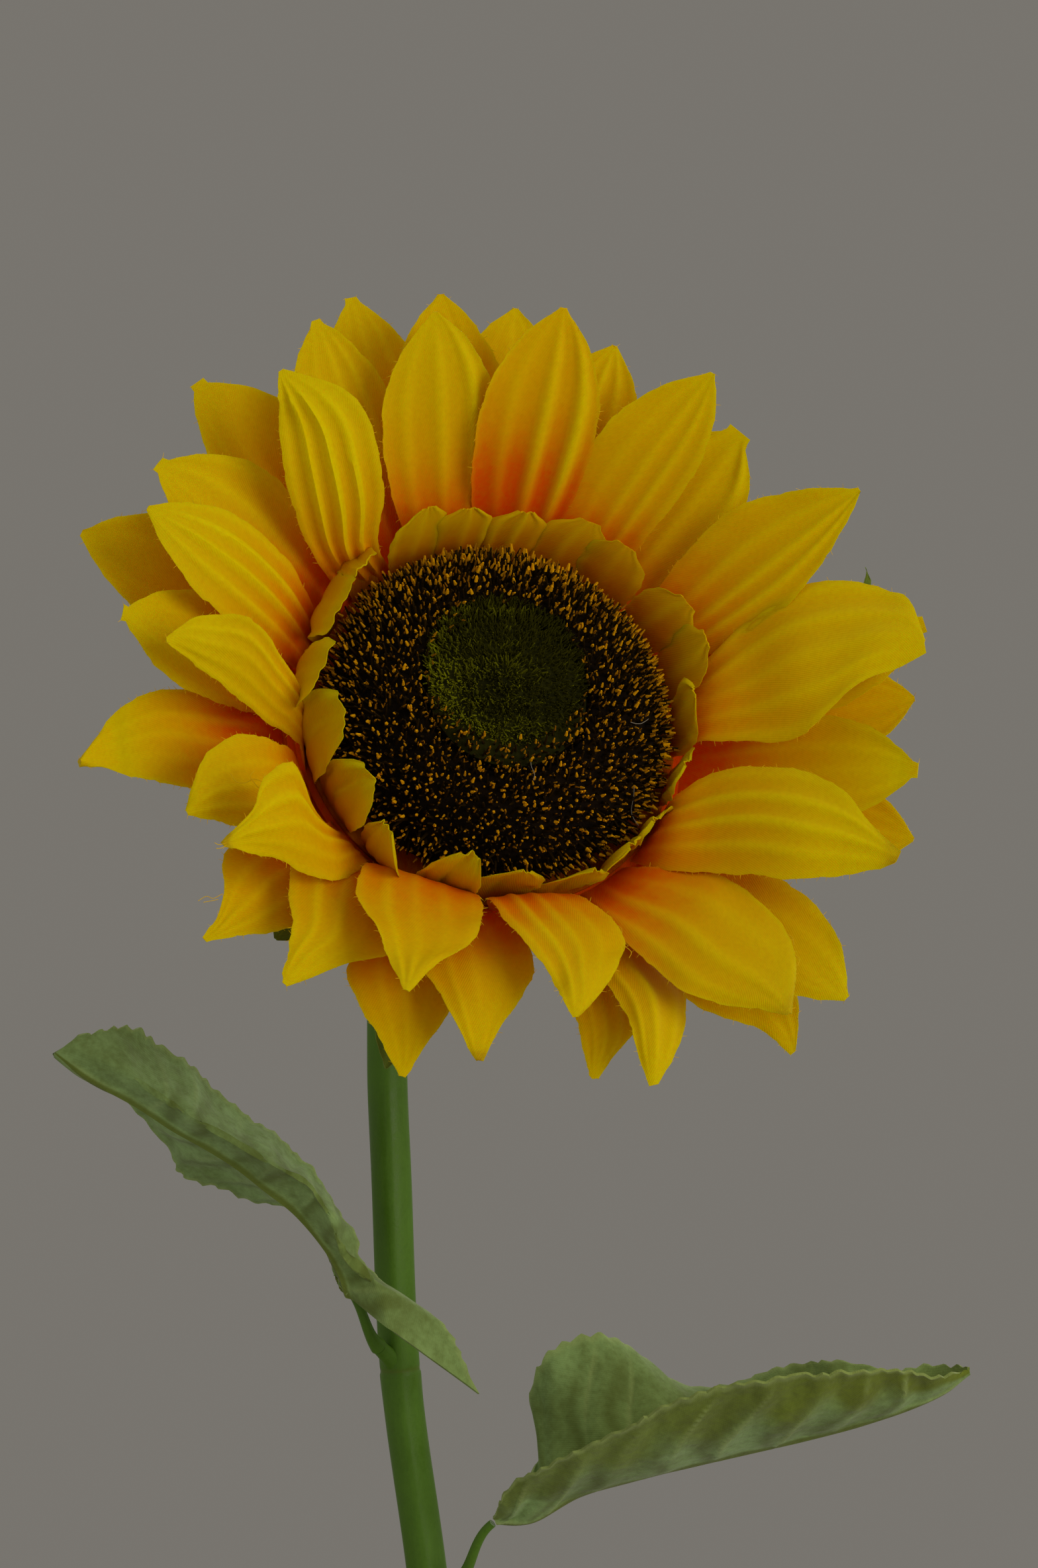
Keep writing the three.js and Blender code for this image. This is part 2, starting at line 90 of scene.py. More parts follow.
def normals(places: Array) -> Array:
    """The way out of the front of a grid of places."""
    return unit(np.cross(np.gradient(places, axis=0), np.gradient(places, axis=1)))


def travelled(line: Array) -> Array:
    """How far along a line each of its places lies."""
    return np.concatenate([[0], np.cumsum(np.linalg.norm(np.diff(line, axis=0), axis=1))])


def from_rib(places: Array) -> Array:
    """How far each place of a grid is from its middle column, less than zero on one side.

    Args:
        places: the grid, along by across.

    Returns:
        One distance for each place.
    """
    reach = np.cumsum(np.linalg.norm(np.diff(places, axis=1), axis=2), axis=1)
    across = np.concatenate([np.zeros((len(places), 1)), reach], axis=1)
    middle = reach.shape[1] // 2
    return across - across[:, middle : middle + 1]


def waves(places: Array, seed: int, count: int = 5) -> Array:
    """Smooth wandering values near -1 to 1 along one measure.

    Args:
        places: where the values are wanted, about one wave to the unit.
        seed: fixes the wander.
        count: how many waves are added up.

    Returns:
        One value for each place.
    """
    dice = np.random.default_rng(seed)
    total = np.zeros_like(np.asarray(places, float))
    for step in range(count):
        pitch = 0.6 + 0.75 * step
        total = total + np.sin(2 * np.pi * (pitch * places + dice.random())) / (1 + 0.6 * step)
    return total / 2.2


def threaded(places: Array, marks: Sequence[float], wanted: Array, smooth: float = 1.0) -> Array:
    """Carries rows of places through in-between rows.

    Args:
        places: the rows, the first measure being the one to follow.
        marks: where each row lies on the scale.
        wanted: where in-between rows are asked for.
        smooth: 1 for a flowing line through the rows, 0 for straight runs between them.

    Returns:
        The rows at the wanted marks.
    """
    marks = np.asarray(marks, float)
    slope = np.gradient(places, marks, axis=0)
    cell = np.clip(np.searchsorted(marks, wanted, side="right") - 1, 0, len(marks) - 2)
    step = marks[cell + 1] - marks[cell]
    shape = (-1,) + (1,) * (places.ndim - 1)
    t, step = ((wanted - marks[cell]) / step).reshape(shape), step.reshape(shape)
    a, b = places[cell], places[cell + 1]
    curved = (2 * t**3 - 3 * t**2 + 1) * a + (3 * t**2 - 2 * t**3) * b
    curved = curved + step * ((t**3 - 2 * t**2 + t) * slope[cell] + (t**3 - t**2) * slope[cell + 1])
    return mix(mix(a, b, t), curved, smooth)


# Meshes


@dataclass
class Draft:
    """Points and faces gathered in millimetres before they become one mesh."""

    name: str
    points: list[Array] = field(default_factory=list)
    faces: Faces = field(default_factory=list)
    form: list[Array] = field(default_factory=list)
    mark: list[Array] = field(default_factory=list)
    weave: list[Array] = field(default_factory=list)
    count: int = 0

    def add(
        self,
        points: Array,
        faces: Faces,
        form: Array | None = None,
        mark: Array | None = None,
        weave: Array | None = None,
    ) -> "Draft":
        """Adds one closed shell.

        Args:
            points: its places, in millimetres.
            faces: rings of point numbers that turn left seen from outside.
            form: four values a point that its finish reads.
            mark: one value a point for scorched or stained places.
            weave: two values a point, in centimetres along and across the cloth.

        Returns:
            The draft itself.
        """
        size = len(points)
        self.points.append(points)
        self.faces += [[index + self.count for index in face] for face in faces]
        self.form.append(np.zeros((size, 4)) if form is None else form)
        self.mark.append(np.zeros(size) if mark is None else mark)
        self.weave.append(points[:, :2] / 10 if weave is None else weave)
        self.count += size
        return self

    def add_cloth(
        self, middle: Array, thickness: Array, upper: Array, lower: Array, weave: Array, mark: Any = 0.0
    ) -> None:
        """Adds one blade of cloth, all from grids of the same size.

        Args:
            middle: its middle surface.
            thickness: how thick it is.
            upper: the form values of its front.
            lower: the form values of its back.
            weave: its weave coordinates.
            mark: how scorched it is.
        """
        points, faces = blade(middle, thickness)
        form = np.concatenate([upper.reshape(-1, 4), lower.reshape(-1, 4)])
        stained = np.broadcast_to(mark, middle.shape[:2]).ravel()
        self.add(points, faces, form, np.tile(stained, 2), np.tile(weave.reshape(-1, 2), (2, 1)))

    def make(self, finish: Material | None = None, crease: float = 55) -> Thing:
        """Turns the draft into an object at the origin, with its place in its mesh.

        Args:
            finish: the material for all its faces.
            crease: the angle in degrees past which an edge looks sharp.

        Returns:
            The new object.
        """
        mesh = bpy.data.meshes.new(self.name)
        points = np.concatenate(self.points) * MM
        mesh.from_pydata(points.tolist(), [], self.faces)
        form = mesh.attributes.new("form", "FLOAT_COLOR", "POINT")
        form.data.foreach_set("color", np.concatenate(self.form).astype(np.float32).ravel())
        mark = mesh.attributes.new("mark", "FLOAT", "POINT")
        mark.data.foreach_set("value", np.concatenate(self.mark).astype(np.float32))
        corner = np.zeros(len(mesh.loops), np.int32)
        mesh.loops.foreach_get("vertex_index", corner)
        weave = mesh.uv_layers.new(name="weave")
        weave.data.foreach_set("uv", np.concatenate(self.weave)[corner].astype(np.float32).ravel())
        mesh.polygons.foreach_set("use_smooth", [True] * len(mesh.polygons))
        mesh.set_sharp_from_angle(angle=math.radians(crease))
        if finish is not None:
            mesh.materials.append(finish)
        mesh.update()
        piece = bpy.data.objects.new(self.name, mesh)
        bpy.context.scene.collection.objects.link(piece)
        return piece


def quads(numbers: Array) -> Faces:
    """Four-sided faces over a grid of point numbers."""
    corners = [numbers[:-1, :-1], numbers[1:, :-1], numbers[1:, 1:], numbers[:-1, 1:]]
    return np.stack(corners, axis=-1).reshape(-1, 4).tolist()


def skin(rings: int, sides: int, closed: bool = True) -> Faces:
    """Faces round a stack of rings; where it is closed, two poles follow the rings' points.

    Args:
        rings: how many rings there are.
        sides: how many points each has.
        closed: whether poles shut its ends.

    Returns:
        The faces.
    """
    grid = np.arange(rings * sides).reshape(rings, sides)
    grid = np.column_stack([grid, grid[:, 0]])
    faces = quads(grid.T)
    if closed:
        low, high, first = grid[0].tolist(), grid[-1].tolist(), rings * sides
        faces += [[first, following, k] for k, following in zip(low, low[1:])]
        faces += [[first + 1, k, following] for k, following in zip(high, high[1:])]
    return faces


def blade(middle: Array, thickness: Array | float) -> tuple[Array, Faces]:
    """A thin closed blade round a grid of places.

    Args:
        middle: places of its middle surface, rows along by columns across.
        thickness: how thick it is, one value or one for each place.

    Returns:
        Its points, the front's first, and its faces.
    """
    half = np.broadcast_to(np.asarray(thickness, float), middle.shape[:2])[..., None] / 2
    rise = normals(middle) * half
    points = np.concatenate([(middle + rise).reshape(-1, 3), (middle - rise).reshape(-1, 3)])
    front = np.arange(middle.size // 3).reshape(middle.shape[:2])
    back = front + front.size
    faces = quads(front) + quads(back.T)
    for axis, rim in ((0, np.s_[:, 0]), (1, np.s_[:, -1]), (1, np.s_[0]), (0, np.s_[-1])):
        faces += quads(np.stack([front[rim], back[rim]], axis=axis))
    return points, faces


def tube(
    line: Array, radii: Array, sides: int, start: Triple = (0, -1, 0), section: Callable | None = None
) -> tuple[Array, Faces, Array]:
    """A closed limb along a line.

    Args:
        line: its middle line, place by place.
        radii: its radius at each place.
        sides: how many points go round it.
        start: the direction that its first point round looks to.
        section: gives the share of the radius for an angle round it.

    Returns:
        Its points, its faces, and for each point the share along.
    """
    steps = len(line)
    way = unit(np.gradient(line, axis=0))
    side = np.asarray(start, float)
    turn = 2 * np.pi * np.arange(sides) / sides
    share = np.ones(sides) if section is None else section(turn)
    rings = []
    for i in range(steps):
        side = unit(side - way[i] * (side @ way[i]))
        other = np.cross(way[i], side)
        ring = np.cos(turn)[:, None] * side + np.sin(turn)[:, None] * other
        rings.append(line[i] + ring * (radii[i] * share)[:, None])
    along = np.concatenate([np.repeat(np.linspace(0, 1, steps), sides), [0, 1]])
    return np.concatenate(rings + [line[:1], line[-1:]]), skin(steps, sides), along


def spun(profile: Pairs, sides: int) -> tuple[Array, Faces]:
    """A closed shell of revolution about +Z.

    Args:
        profile: radius and height pairs that go up the outside; its ends are on the axis, or meet.
        sides: how many points go round it.

    Returns:
        Its points and its faces.
    """
    turn = 2 * np.pi * np.arange(sides) / sides
    rings = [polar(radius, turn, height) for radius, height in profile if radius > 0]
    poles = [[(0.0, 0.0, height)] for radius, height in profile if radius == 0]
    return np.concatenate(rings + poles), skin(len(rings), sides, bool(poles))


def rounded(profile: Pairs, radius: float, steps: int = 4) -> Pairs:
    """Takes the corners off a profile.

    Args:
        profile: radius and height pairs.
        radius: how far from a corner the round starts, at most.
        steps: how many short edges each round has.

    Returns:
        The profile with its inner corners rounded.
    """
    pairs = [np.array(pair, float) for pair in profile]
    smooth = [tuple(pairs[0])]
    for before, corner, after in zip(pairs, pairs[1:], pairs[2:]):
        reach = min(radius, 0.45 * np.linalg.norm(before - corner), 0.45 * np.linalg.norm(after - corner))
        first = corner + unit(before - corner) * reach
        last = corner + unit(after - corner) * reach
        for step in range(steps + 1):
            t = step / steps
            smooth.append(tuple((1 - t) ** 2 * first + 2 * t * (1 - t) * corner + t * t * last))
    smooth.append(tuple(pairs[-1]))
    return smooth


def settle(piece: Thing, slot: str, *nodes: str) -> Thing:
    """Hands a finished piece over: it rides on the plant and stands for its nodes.

    Args:
        piece: the piece.
        slot: the material slot of its nodes; not used.
        nodes: the nodes that it stands for, if any.

    Returns:
        The same piece.
    """
    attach(piece, "root")
    if nodes:
        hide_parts(*nodes)
    log.info("%s: %d faces", piece.name, len(piece.data.polygons))
    return piece


# Node trees


class Bench:
    """Adds nodes to one tree and wires them."""

    def __init__(self, tree: Tree) -> None:
        """Keeps the tree to work on."""
        self.tree = tree

    def add(self, kind: str, inputs: dict[Any, Any] | None = None, **settings: Any) -> bpy.types.Node:
        """Adds a node.

        Args:
            kind: the node's type.
            inputs: what its inputs are fed, by their names or numbers.
            settings: its other settings.

        Returns:
            The node.
        """
        node = self.tree.nodes.new(kind)
        for name, value in settings.items():
            setattr(node, name, value)
        for key, value in (inputs or {}).items():
            self.feed(node.inputs[key], value)
        return node

    def feed(self, target: Socket, value: Any) -> None:
        """Wires a socket to another, or sets its own value."""
        if isinstance(value, Socket):
            self.tree.links.new(value, target)
        elif value is not None:
            target.default_value = value

    def sum(self, operation: str, first: Any, second: Any = None, clamp: bool = False) -> Socket:
        """One step of arithmetic."""
        inputs = {0: first, 1: second}
        return self.add("ShaderNodeMath", inputs, operation=operation, use_clamp=clamp).outputs[0]

    def plus(self, first: Any, second: Any) -> Socket:
        """Two values added up."""
        return self.sum("ADD", first, second)

    def times(self, first: Any, second: Any, clamp: bool = False) -> Socket:
        """The product of two values."""
        return self.sum("MULTIPLY", first, second, clamp)

    def blend(self, share: Any, first: Any, second: Any) -> Socket:
        """A colour between two others.

        Args:
            share: how much of the second.
            first: a colour or a socket.
            second: another.

        Returns:
            The colour's socket.
        """
        first, second = ((*item, 1) if isinstance(item, tuple) else item for item in (first, second))
        inputs = {0: share, 6: first, 7: second}
        return self.add("ShaderNodeMix", inputs, data_type="RGBA", clamp_factor=True).outputs[2]

    def ramp(self, share: Any, stops: Sequence[tuple[float, Colour]]) -> Socket:
        """A colour read from a row of stops.

        Args:
            share: where to read it.
            stops: places from 0 to 1 with their colours.

        Returns:
            The colour's socket.
        """
        node = self.add("ShaderNodeValToRGB", {0: share})
        row = node.color_ramp.elements
        while len(row) < len(stops):
            row.new(0.5)
        for element, (place, colour) in zip(row, stops):
            element.position = place
            element.color = (*colour, 1)
        return node.outputs[0]

    def span(self, value: Any, low: float, high: float, first: float = 0, last: float = 1) -> Socket:
        """A value carried smoothly from one range to another, and held at its ends."""
        inputs = dict(enumerate((value, low, high, first, last)))
        return self.add("ShaderNodeMapRange", inputs, interpolation_type="SMOOTHSTEP", clamp=True).outputs[0]

    def noise(self, where: Any, scale: Any, detail: float = 3, rough: float = 0.55) -> Socket:
        """A cloudy value from 0 to 1."""
        inputs = {"Vector": where, "Scale": scale, "Detail": detail, "Roughness": rough}
        return self.add("ShaderNodeTexNoise", inputs).outputs["Fac"]


def socket(tree: Tree, name: str, kind: str, way: str = "INPUT", value: Any = None) -> Any:
    """Adds a named socket to a group or tree.

    Args:
        tree: the group or tree.
        name: the socket's name.
        kind: what it carries, such as Float.
        way: INPUT or OUTPUT.
        value: its own value, if any.

    Returns:
        The interface's new item.
    """
    made = tree.interface.new_socket(name=name, in_out=way, socket_type="NodeSocket" + kind)
    if value is not None:
        made.default_value = value
    return made


def group(name: str, inputs: dict[str, float | None], outputs: Sequence[str]) -> tuple[Bench, Any, Any]:
    """Starts a shader group.

    Args:
        name: what it is called.
        inputs: its inputs, each with its number, or with None where it takes a place.
        outputs: its outputs, all of them numbers.

    Returns:
        Its bench, what it is given and what it gives.
    """
    tree = bpy.data.node_groups.new(name, "ShaderNodeTree")
    for label, value in inputs.items():
        socket(tree, label, "Vector" if value is None else "Float", value=value)
    for label in outputs:
        socket(tree, label, "Float", "OUTPUT")
    bench = Bench(tree)
    return bench, bench.add("NodeGroupInput").outputs, bench.add("NodeGroupOutput").inputs


class Effects:
    """Shader groups that more than one finish uses, each built once."""

    def __init__(self) -> None:
        """Builds the groups."""
        self.twill = self._twill()
        self.mottle = self._mottle()
        self.crumple = self._crumple()

    def _twill(self) -> Tree:
        """Slanting threads of a satin cloth, from its weave coordinates in centimetres.

        Returns:
            The group.
        """
        bench, given, gives = group("satin_twill", {"Weave": None, "Threads": 20.0}, ("Height", "Fleck"))
        split = bench.add("ShaderNodeSeparateXYZ", {0: given["Weave"]})
        warp = bench.times(split.outputs[0], given["Threads"])
        weft = bench.times(split.outputs[1], given["Threads"])
        rib = bench.sum("SINE", bench.times(bench.plus(warp, bench.times(weft, 0.5)), 2 * math.pi))
        cross = bench.sum("SINE", bench.times(weft, 4 * math.pi))
        height = bench.plus(bench.times(rib, 0.35), bench.times(cross, 0.15))
        bench.feed(gives["Height"], bench.plus(height, 0.5))
        bench.feed(gives["Fleck"], bench.noise(given["Weave"], bench.times(given["Threads"], 0.4), 2))
        return bench.tree

    def _mottle(self) -> Tree:
        """Two sizes of cloudy stain in one value.

        Returns:
            The group.
        """
        bench, given, gives = group("mottle", {"Place": None, "Broad": 20.0, "Fine": 200.0}, ("Value",))
        broad = bench.noise(given["Place"], given["Broad"], 2)
        fine = bench.noise(given["Place"], given["Fine"], 4, 0.65)
        both = bench.plus(bench.times(broad, 0.6), bench.times(fine, 0.4))
        bench.feed(gives["Value"], bench.span(both, 0.32, 0.68))
        return bench.tree

    def _crumple(self) -> Tree:
        """Small pressed dents of a surface as a height.

        Returns:
            The group.
        """
        bench, given, gives = group("crumple", {"Place": None, "Scale": 120.0}, ("Height",))
        soft = bench.noise(given["Place"], given["Scale"], 3, 0.5)
        inputs = {"Vector": given["Place"], "Scale": given["Scale"]}
        sharp = bench.add("ShaderNodeTexVoronoi", inputs, feature="F1")
        bench.feed(gives["Height"], bench.plus(soft, bench.times(sharp.outputs["Distance"], 0.3)))
        return bench.tree


class Paint:
    """One material while its nodes are laid out."""

    def __init__(self, name: str, effects: Effects, roughness: float, shine: float) -> None:
        """Starts a material with its shader.

        Args:
            name: what the material is called.
            effects: the shared groups.
            roughness: the shader's roughness all over.
            shine: the shader's specular level all over.
        """
        self.material = bpy.data.materials.new(name)
        self.material.use_nodes = True
        tree = self.material.node_tree
        tree.nodes.clear()
        self.bench = Bench(tree)
        self.effects = effects
        self.shader = self.bench.add("ShaderNodeBsdfPrincipled")
        self.bench.add("ShaderNodeOutputMaterial", {"Surface": self.shader.outputs[0]})
        self.set("Roughness", roughness)
        self.set("Specular IOR Level", shine)

    def set(self, name: str, value: Any) -> None:
        """Sets or wires one of the shader's sockets."""
        if isinstance(value, tuple) and name != "Subsurface Radius":
            value = (*value, 1)
        self.bench.feed(self.shader.inputs[name], value)

    def place(self) -> Socket:
        """The place on the object, in metres."""
        return self.bench.add("ShaderNodeTexCoord").outputs["Object"]

    def form(self) -> tuple[Socket, Socket, Socket, Socket]:
        """The four form values that the mesh keeps.

        Returns:
            The share along, the share across, the crest and the tone, which carry a petal's painted crest
            highlight and painted shade, and a leaf's veins and painted shade.
        """
        kept = self.bench.add("ShaderNodeAttribute", attribute_name="form")
        split = self.bench.add("ShaderNodeSeparateColor", {0: kept.outputs["Color"]})
        return split.outputs[0], split.outputs[1], split.outputs[2], kept.outputs["Alpha"]

    def mark(self) -> Socket:
        """The value for scorched or stained places."""
        return self.bench.add("ShaderNodeAttribute", attribute_name="mark").outputs["Fac"]

    def shared(self, tree: Tree, **values: Any) -> Any:
        """Places a shared group with its own values, and gives its outputs."""
        return self.bench.add("ShaderNodeGroup", values, node_tree=tree).outputs

    def cloud(self, broad: float, fine: float) -> Socket:
        """A cloudy stain of two sizes."""
        return self.shared(self.effects.mottle, Place=self.place(), Broad=broad, Fine=fine)[0]

    def dents(self, scale: float) -> Socket:
        """Small pressed dents."""
        return self.shared(self.effects.crumple, Place=self.place(), Scale=scale)[0]

    def twill(self, threads: float) -> Any:
        """The satin threads of this cloth, so many to the centimetre."""
        weave = self.bench.add("ShaderNodeUVMap", uv_map="weave")
        return self.shared(self.effects.twill, Weave=weave.outputs[0], Threads=threads)

    def relief(self, height: Any, distance: float, strength: float) -> None:
        """Raises the surface by a height, in metres."""
        inputs = {"Height": height, "Distance": distance, "Strength": strength}
        self.set("Normal", self.bench.add("ShaderNodeBump", inputs).outputs[0])


# Finishes


class Finish:
    """A finish of the plant: its fields, and how it is laid out as a material."""

    name: str
    roughness: float
    shine: float

    def material(self, effects: Effects) -> Material:
        """Makes the material.

        Args:
            effects: the shared groups.

        Returns:
            The material.
        """
        paint = Paint(self.name, effects, self.roughness, self.shine)
        self.lay(paint)
        return paint.material

    def lay(self, paint: Paint) -> None:
        """Lays out the material's nodes, each finish in its own way."""
        raise NotImplementedError


@dataclass(frozen=True)
class PetalSatin(Finish):
    """Dyed satin: dark at the root, yellow at the tip, with a painted highlight along its pressed crests and a
    paler rim.
    """

    name: str
    stops: tuple[tuple[float, Colour], ...]
    rim: Colour
    crest_highlight: Colour
    scorch: Colour = (0.16, 0.05, 0.01)
    fleck: Colour = (0.6, 0.3, 0.0)
    threads: float = 20.0
    roughness: float = 0.5
    shine: float = 0.1

    def lay(self, paint: Paint) -> None:
        """Lays out the dye, the rim, the painted crest highlights and the threads.

        Args:
            paint: the material to lay out.
        """
        bench = paint.bench
        along, across, crest_highlight, tone = paint.form()
        twill = paint.twill(self.threads)
        cloud = paint.cloud(45.0, 420.0)
        wander = bench.times(bench.sum("SUBTRACT", cloud, 0.5), 0.1)
        # The tone shifts the dye; on the back and lower petals this shift is painted shade.
        dye = bench.plus(bench.plus(along, wander), bench.sum("SUBTRACT", tone, 0.5))
        colour = bench.ramp(dye, self.stops)
        # Painted highlight: the pressed crests are lightened towards the crest colour, standing in for satin
        # sheen.
        crest_highlight_share = bench.times(crest_highlight, bench.span(along, 0.05, 0.45, 0.2, 0.8))
        colour = bench.blend(crest_highlight_share, colour, self.crest_highlight)
        rim = bench.times(bench.span(across, 0.9, 1.0), bench.span(along, 0.2, 0.9, 0.1, 0.6))
        colour = bench.blend(rim, colour, self.rim)
        colour = bench.blend(bench.span(twill["Fleck"], 0.35, 0.75, 0, 0.16), colour, self.fleck)
        colour = bench.blend(bench.times(paint.mark(), cloud, True), colour, self.scorch)
        paint.set("Base Color", colour)
        paint.set("Subsurface Weight", 0.3)
        paint.set("Subsurface Radius", (1.0, 0.35, 0.05))
        paint.set("Subsurface Scale", 0.002)
        paint.set("Sheen Weight", 0.08)
        paint.set("Sheen Roughness", 0.35)
        paint.set("Sheen Tint", (1.0, 0.78, 0.0))
        paint.set("Specular Tint", (1.0, 0.8, 0.15))
        paint.relief(twill["Height"], 0.00008, 0.5)


@dataclass(frozen=True)
class LeafCloth(Finish):
    """Printed leaf cloth: darker above, dusty and paler below, with pressed veins, painted shade between them
    and painted shade where the blade faces down.
    """

    name: str
    above: Colour
    below: Colour
    vein: Colour
    rib: Colour
    stain: Colour
    scorch: Colour = (0.12, 0.07, 0.02)
    roughness: float = 0.75
    shine: float = 0.25

    def lay(self, paint: Paint) -> None:
        """Lays out the print, the veins, the painted shade between them, the rim and the dents.

        Args:
            paint: the material to lay out.
        """
        bench = paint.bench
        along, across, vein, upper = paint.form()
        twill = paint.twill(16.0)
        # The fourth form value blends the paler back colour into the darker front colour; on the leaves it
        # carries painted shade.
        colour = bench.blend(upper, self.below, self.above)
        for share, tint in (
            (bench.times(paint.cloud(70.0, 520.0), 0.6), self.stain),
            # A negative third form value paints shade between the veins in the stain colour.
            (bench.times(vein, -0.75, True), self.stain),
            (bench.times(vein, 0.6, True), self.vein),
            (bench.span(across, 0.02, 0.06, 0.85, 0), self.rib),
            (bench.span(across, 0.93, 1.0, 0, 0.45), self.vein),
            (bench.span(twill["Fleck"], 0.4, 0.8, 0, 0.25), self.stain),
            (paint.mark(), self.scorch),
        ):
            colour = bench.blend(share, colour, tint)
        paint.set("Base Color", colour)
        paint.set("Sheen Weight", 0.15)
        paint.relief(bench.plus(paint.dents(230.0), bench.times(twill["Height"], 0.05)), 0.001, 0.6)


@dataclass(frozen=True)
class MouldedPlastic(Finish):
    """Green moulded plastic with flow marks, worn a little brown in places."""

    name: str
    body: Colour
    pale: Colour
    brown: Colour
    roughness: float = 0.48
    shine: float = 0.3

    def lay(self, paint: Paint) -> None:
        """Lays out the flow marks, the stains and the grain.

        Args:
            paint: the material to lay out.
        """
        bench = paint.bench
        cloud = paint.cloud(60.0, 900.0)
        squash = bench.add("ShaderNodeMapping", {"Vector": paint.place(), "Scale": (1, 1, 0.12)})
        streak = bench.noise(squash.outputs[0], 700.0, 2)
        colour = bench.blend(bench.times(cloud, 0.5), self.body, self.pale)
        colour = bench.blend(bench.span(streak, 0.5, 0.75, 0, 0.25), colour, self.pale)
        stain = bench.noise(paint.place(), 24.0, 2)
        colour = bench.blend(bench.span(stain, 0.6, 0.72, 0, 0.45), colour, self.brown)
        paint.set("Base Color", bench.blend(paint.mark(), colour, self.brown))
        paint.set("Roughness", bench.span(cloud, 0.0, 1.0, self.roughness - 0.08, self.roughness + 0.12))
        paint.relief(bench.plus(streak, bench.noise(paint.place(), 1500.0, 2)), 0.0001, 0.5)


@dataclass(frozen=True)
class Fibre(Finish):
    """One colour of bristle, pile or thread, the same all over."""

    name: str
    colour: Colour
    roughness: float
    shine: float

    def lay(self, paint: Paint) -> None:
        """Sets the colour."""
        paint.set("Base Color", self.colour)


@dataclass(frozen=True)
class Crumble(Finish):
    """Felt or soil: two cloudy tones over small dents."""

    name: str
    dark: Colour
    light: Colour
    broad: float = 160.0
    fine: float = 800.0
    scale: float = 500.0
    depth: float = 0.0008
    roughness: float = 0.92
    shine: float = 0.15

    def lay(self, paint: Paint) -> None:
        """Lays out the tones and the dents."""
        paint.set("Base Color", paint.bench.blend(paint.cloud(self.broad, self.fine), self.dark, self.light))
        paint.relief(paint.dents(self.scale), self.depth, 0.8)


@dataclass(frozen=True)
class FiredClay(Finish):
    """Unglazed clay: throwing lines, a chalky bloom low down and paler worn edges."""

    name: str
    body: Colour
    dark: Colour
    chalk: Colour
    rim_height: float
    roughness: float = 0.85
    shine: float = 0.3

    def lay(self, paint: Paint) -> None:
        """Lays out the clay's tones, its chalk and its throwing lines.

        Args:
            paint: the material to lay out.
        """
        bench, where = paint.bench, paint.place()
        colour = bench.blend(paint.cloud(28.0, 350.0), self.dark, self.body)
        height = bench.add("ShaderNodeSeparateXYZ", {0: where}).outputs[2]
        low = bench.span(height, 0.0, 0.05, 0.7, 0.0)
        chalk = bench.times(bench.span(bench.noise(where, 55.0, 4, 0.6), 0.42, 0.66), 0.5)
        colour = bench.blend(bench.times(chalk, bench.plus(low, 0.25)), colour, self.chalk)
        edge = bench.span(height, self.rim_height - 0.003, self.rim_height, 0, 0.4)
        colour = bench.blend(edge, colour, self.chalk)
        speck = bench.span(bench.noise(where, 900.0, 2), 0.68, 0.74, 0, 0.5)
        paint.set("Base Color", bench.blend(speck, colour, self.dark))
        inputs = {"Vector": where, "Scale": 90.0, "Distortion": 1.5}
        rings = bench.add("ShaderNodeTexWave", inputs, bands_direction="Z")
        grain = bench.plus(bench.times(rings.outputs["Fac"], 0.35), bench.noise(where, 700.0, 3))
        paint.relief(grain, 0.00025, 0.7)


class Wardrobe:
    """Every finish of the plant, made once."""

    def __init__(self) -> None:
        """Makes the shared groups."""
        self.effects = Effects()
        self.made: dict[str, Material] = {}

    def wear(self, finish: Finish) -> Material:
        """The material of a finish, made the first time it is asked for."""
        if finish.name not in self.made:
            self.made[finish.name] = finish.material(self.effects)
        return self.made[finish.name]


RAY_SATIN = PetalSatin(
    name="ray_satin",
    stops=(
        (0.0, (0.8, 0.06, 0.0)),
        (0.16, (0.85, 0.11, 0.0)),
        (0.3, (0.86, 0.28, 0.0)),
        (0.46, (0.86, 0.43, 0.0)),
        (0.7, (0.85, 0.53, 0.0)),
        (1.0, (0.84, 0.61, 0.0)),
    ),
    rim=(0.84, 0.62, 0.0),
    crest_highlight=(1.0, 0.8, 0.0),
)
INNER_SATIN = PetalSatin(
    name="inner_satin",
    stops=(
        (0.0, (0.35, 0.05, 0.0)),
        (0.25, (0.55, 0.15, 0.0)),
        (0.55, (0.66, 0.36, 0.0)),
        (0.8, (0.68, 0.45, 0.0)),
        (1.0, (0.66, 0.5, 0.0)),
    ),
    rim=(0.62, 0.54, 0.0),
    crest_highlight=(0.8, 0.6, 0.0),
)
LEAF_CLOTH = LeafCloth(
    name="leaf_cloth",
    above=(0.19, 0.25, 0.015),
    below=(0.335, 0.52, 0.2),
    vein=(0.44, 0.56, 0.2),
    rib=(0.12, 0.16, 0.01),
    stain=(0.1, 0.13, 0.01),
)
SEPAL_CLOTH = LeafCloth(
    name="sepal_cloth",
    above=(0.14, 0.24, 0.02),
    below=(0.2, 0.32, 0.04),
    vein=(0.3, 0.38, 0.06),
    rib=(0.2, 0.26, 0.02),
    stain=(0.1, 0.13, 0.01),
)
STEM_PLASTIC = MouldedPlastic("stem_plastic", (0.08, 0.185, 0.01), (0.13, 0.28, 0.03), (0.13, 0.12, 0.01))
CALYX_PLASTIC = MouldedPlastic("calyx_plastic", (0.1, 0.22, 0.025), (0.16, 0.3, 0.05), (0.15, 0.15, 0.02))
BRISTLE = Fibre("bristle_dark", (0.028, 0.015, 0.002), 0.7, 0.05)
TIP_GOLD = Fibre("bristle_tip_gold", (0.85, 0.4, 0.0), 0.7, 0.08)
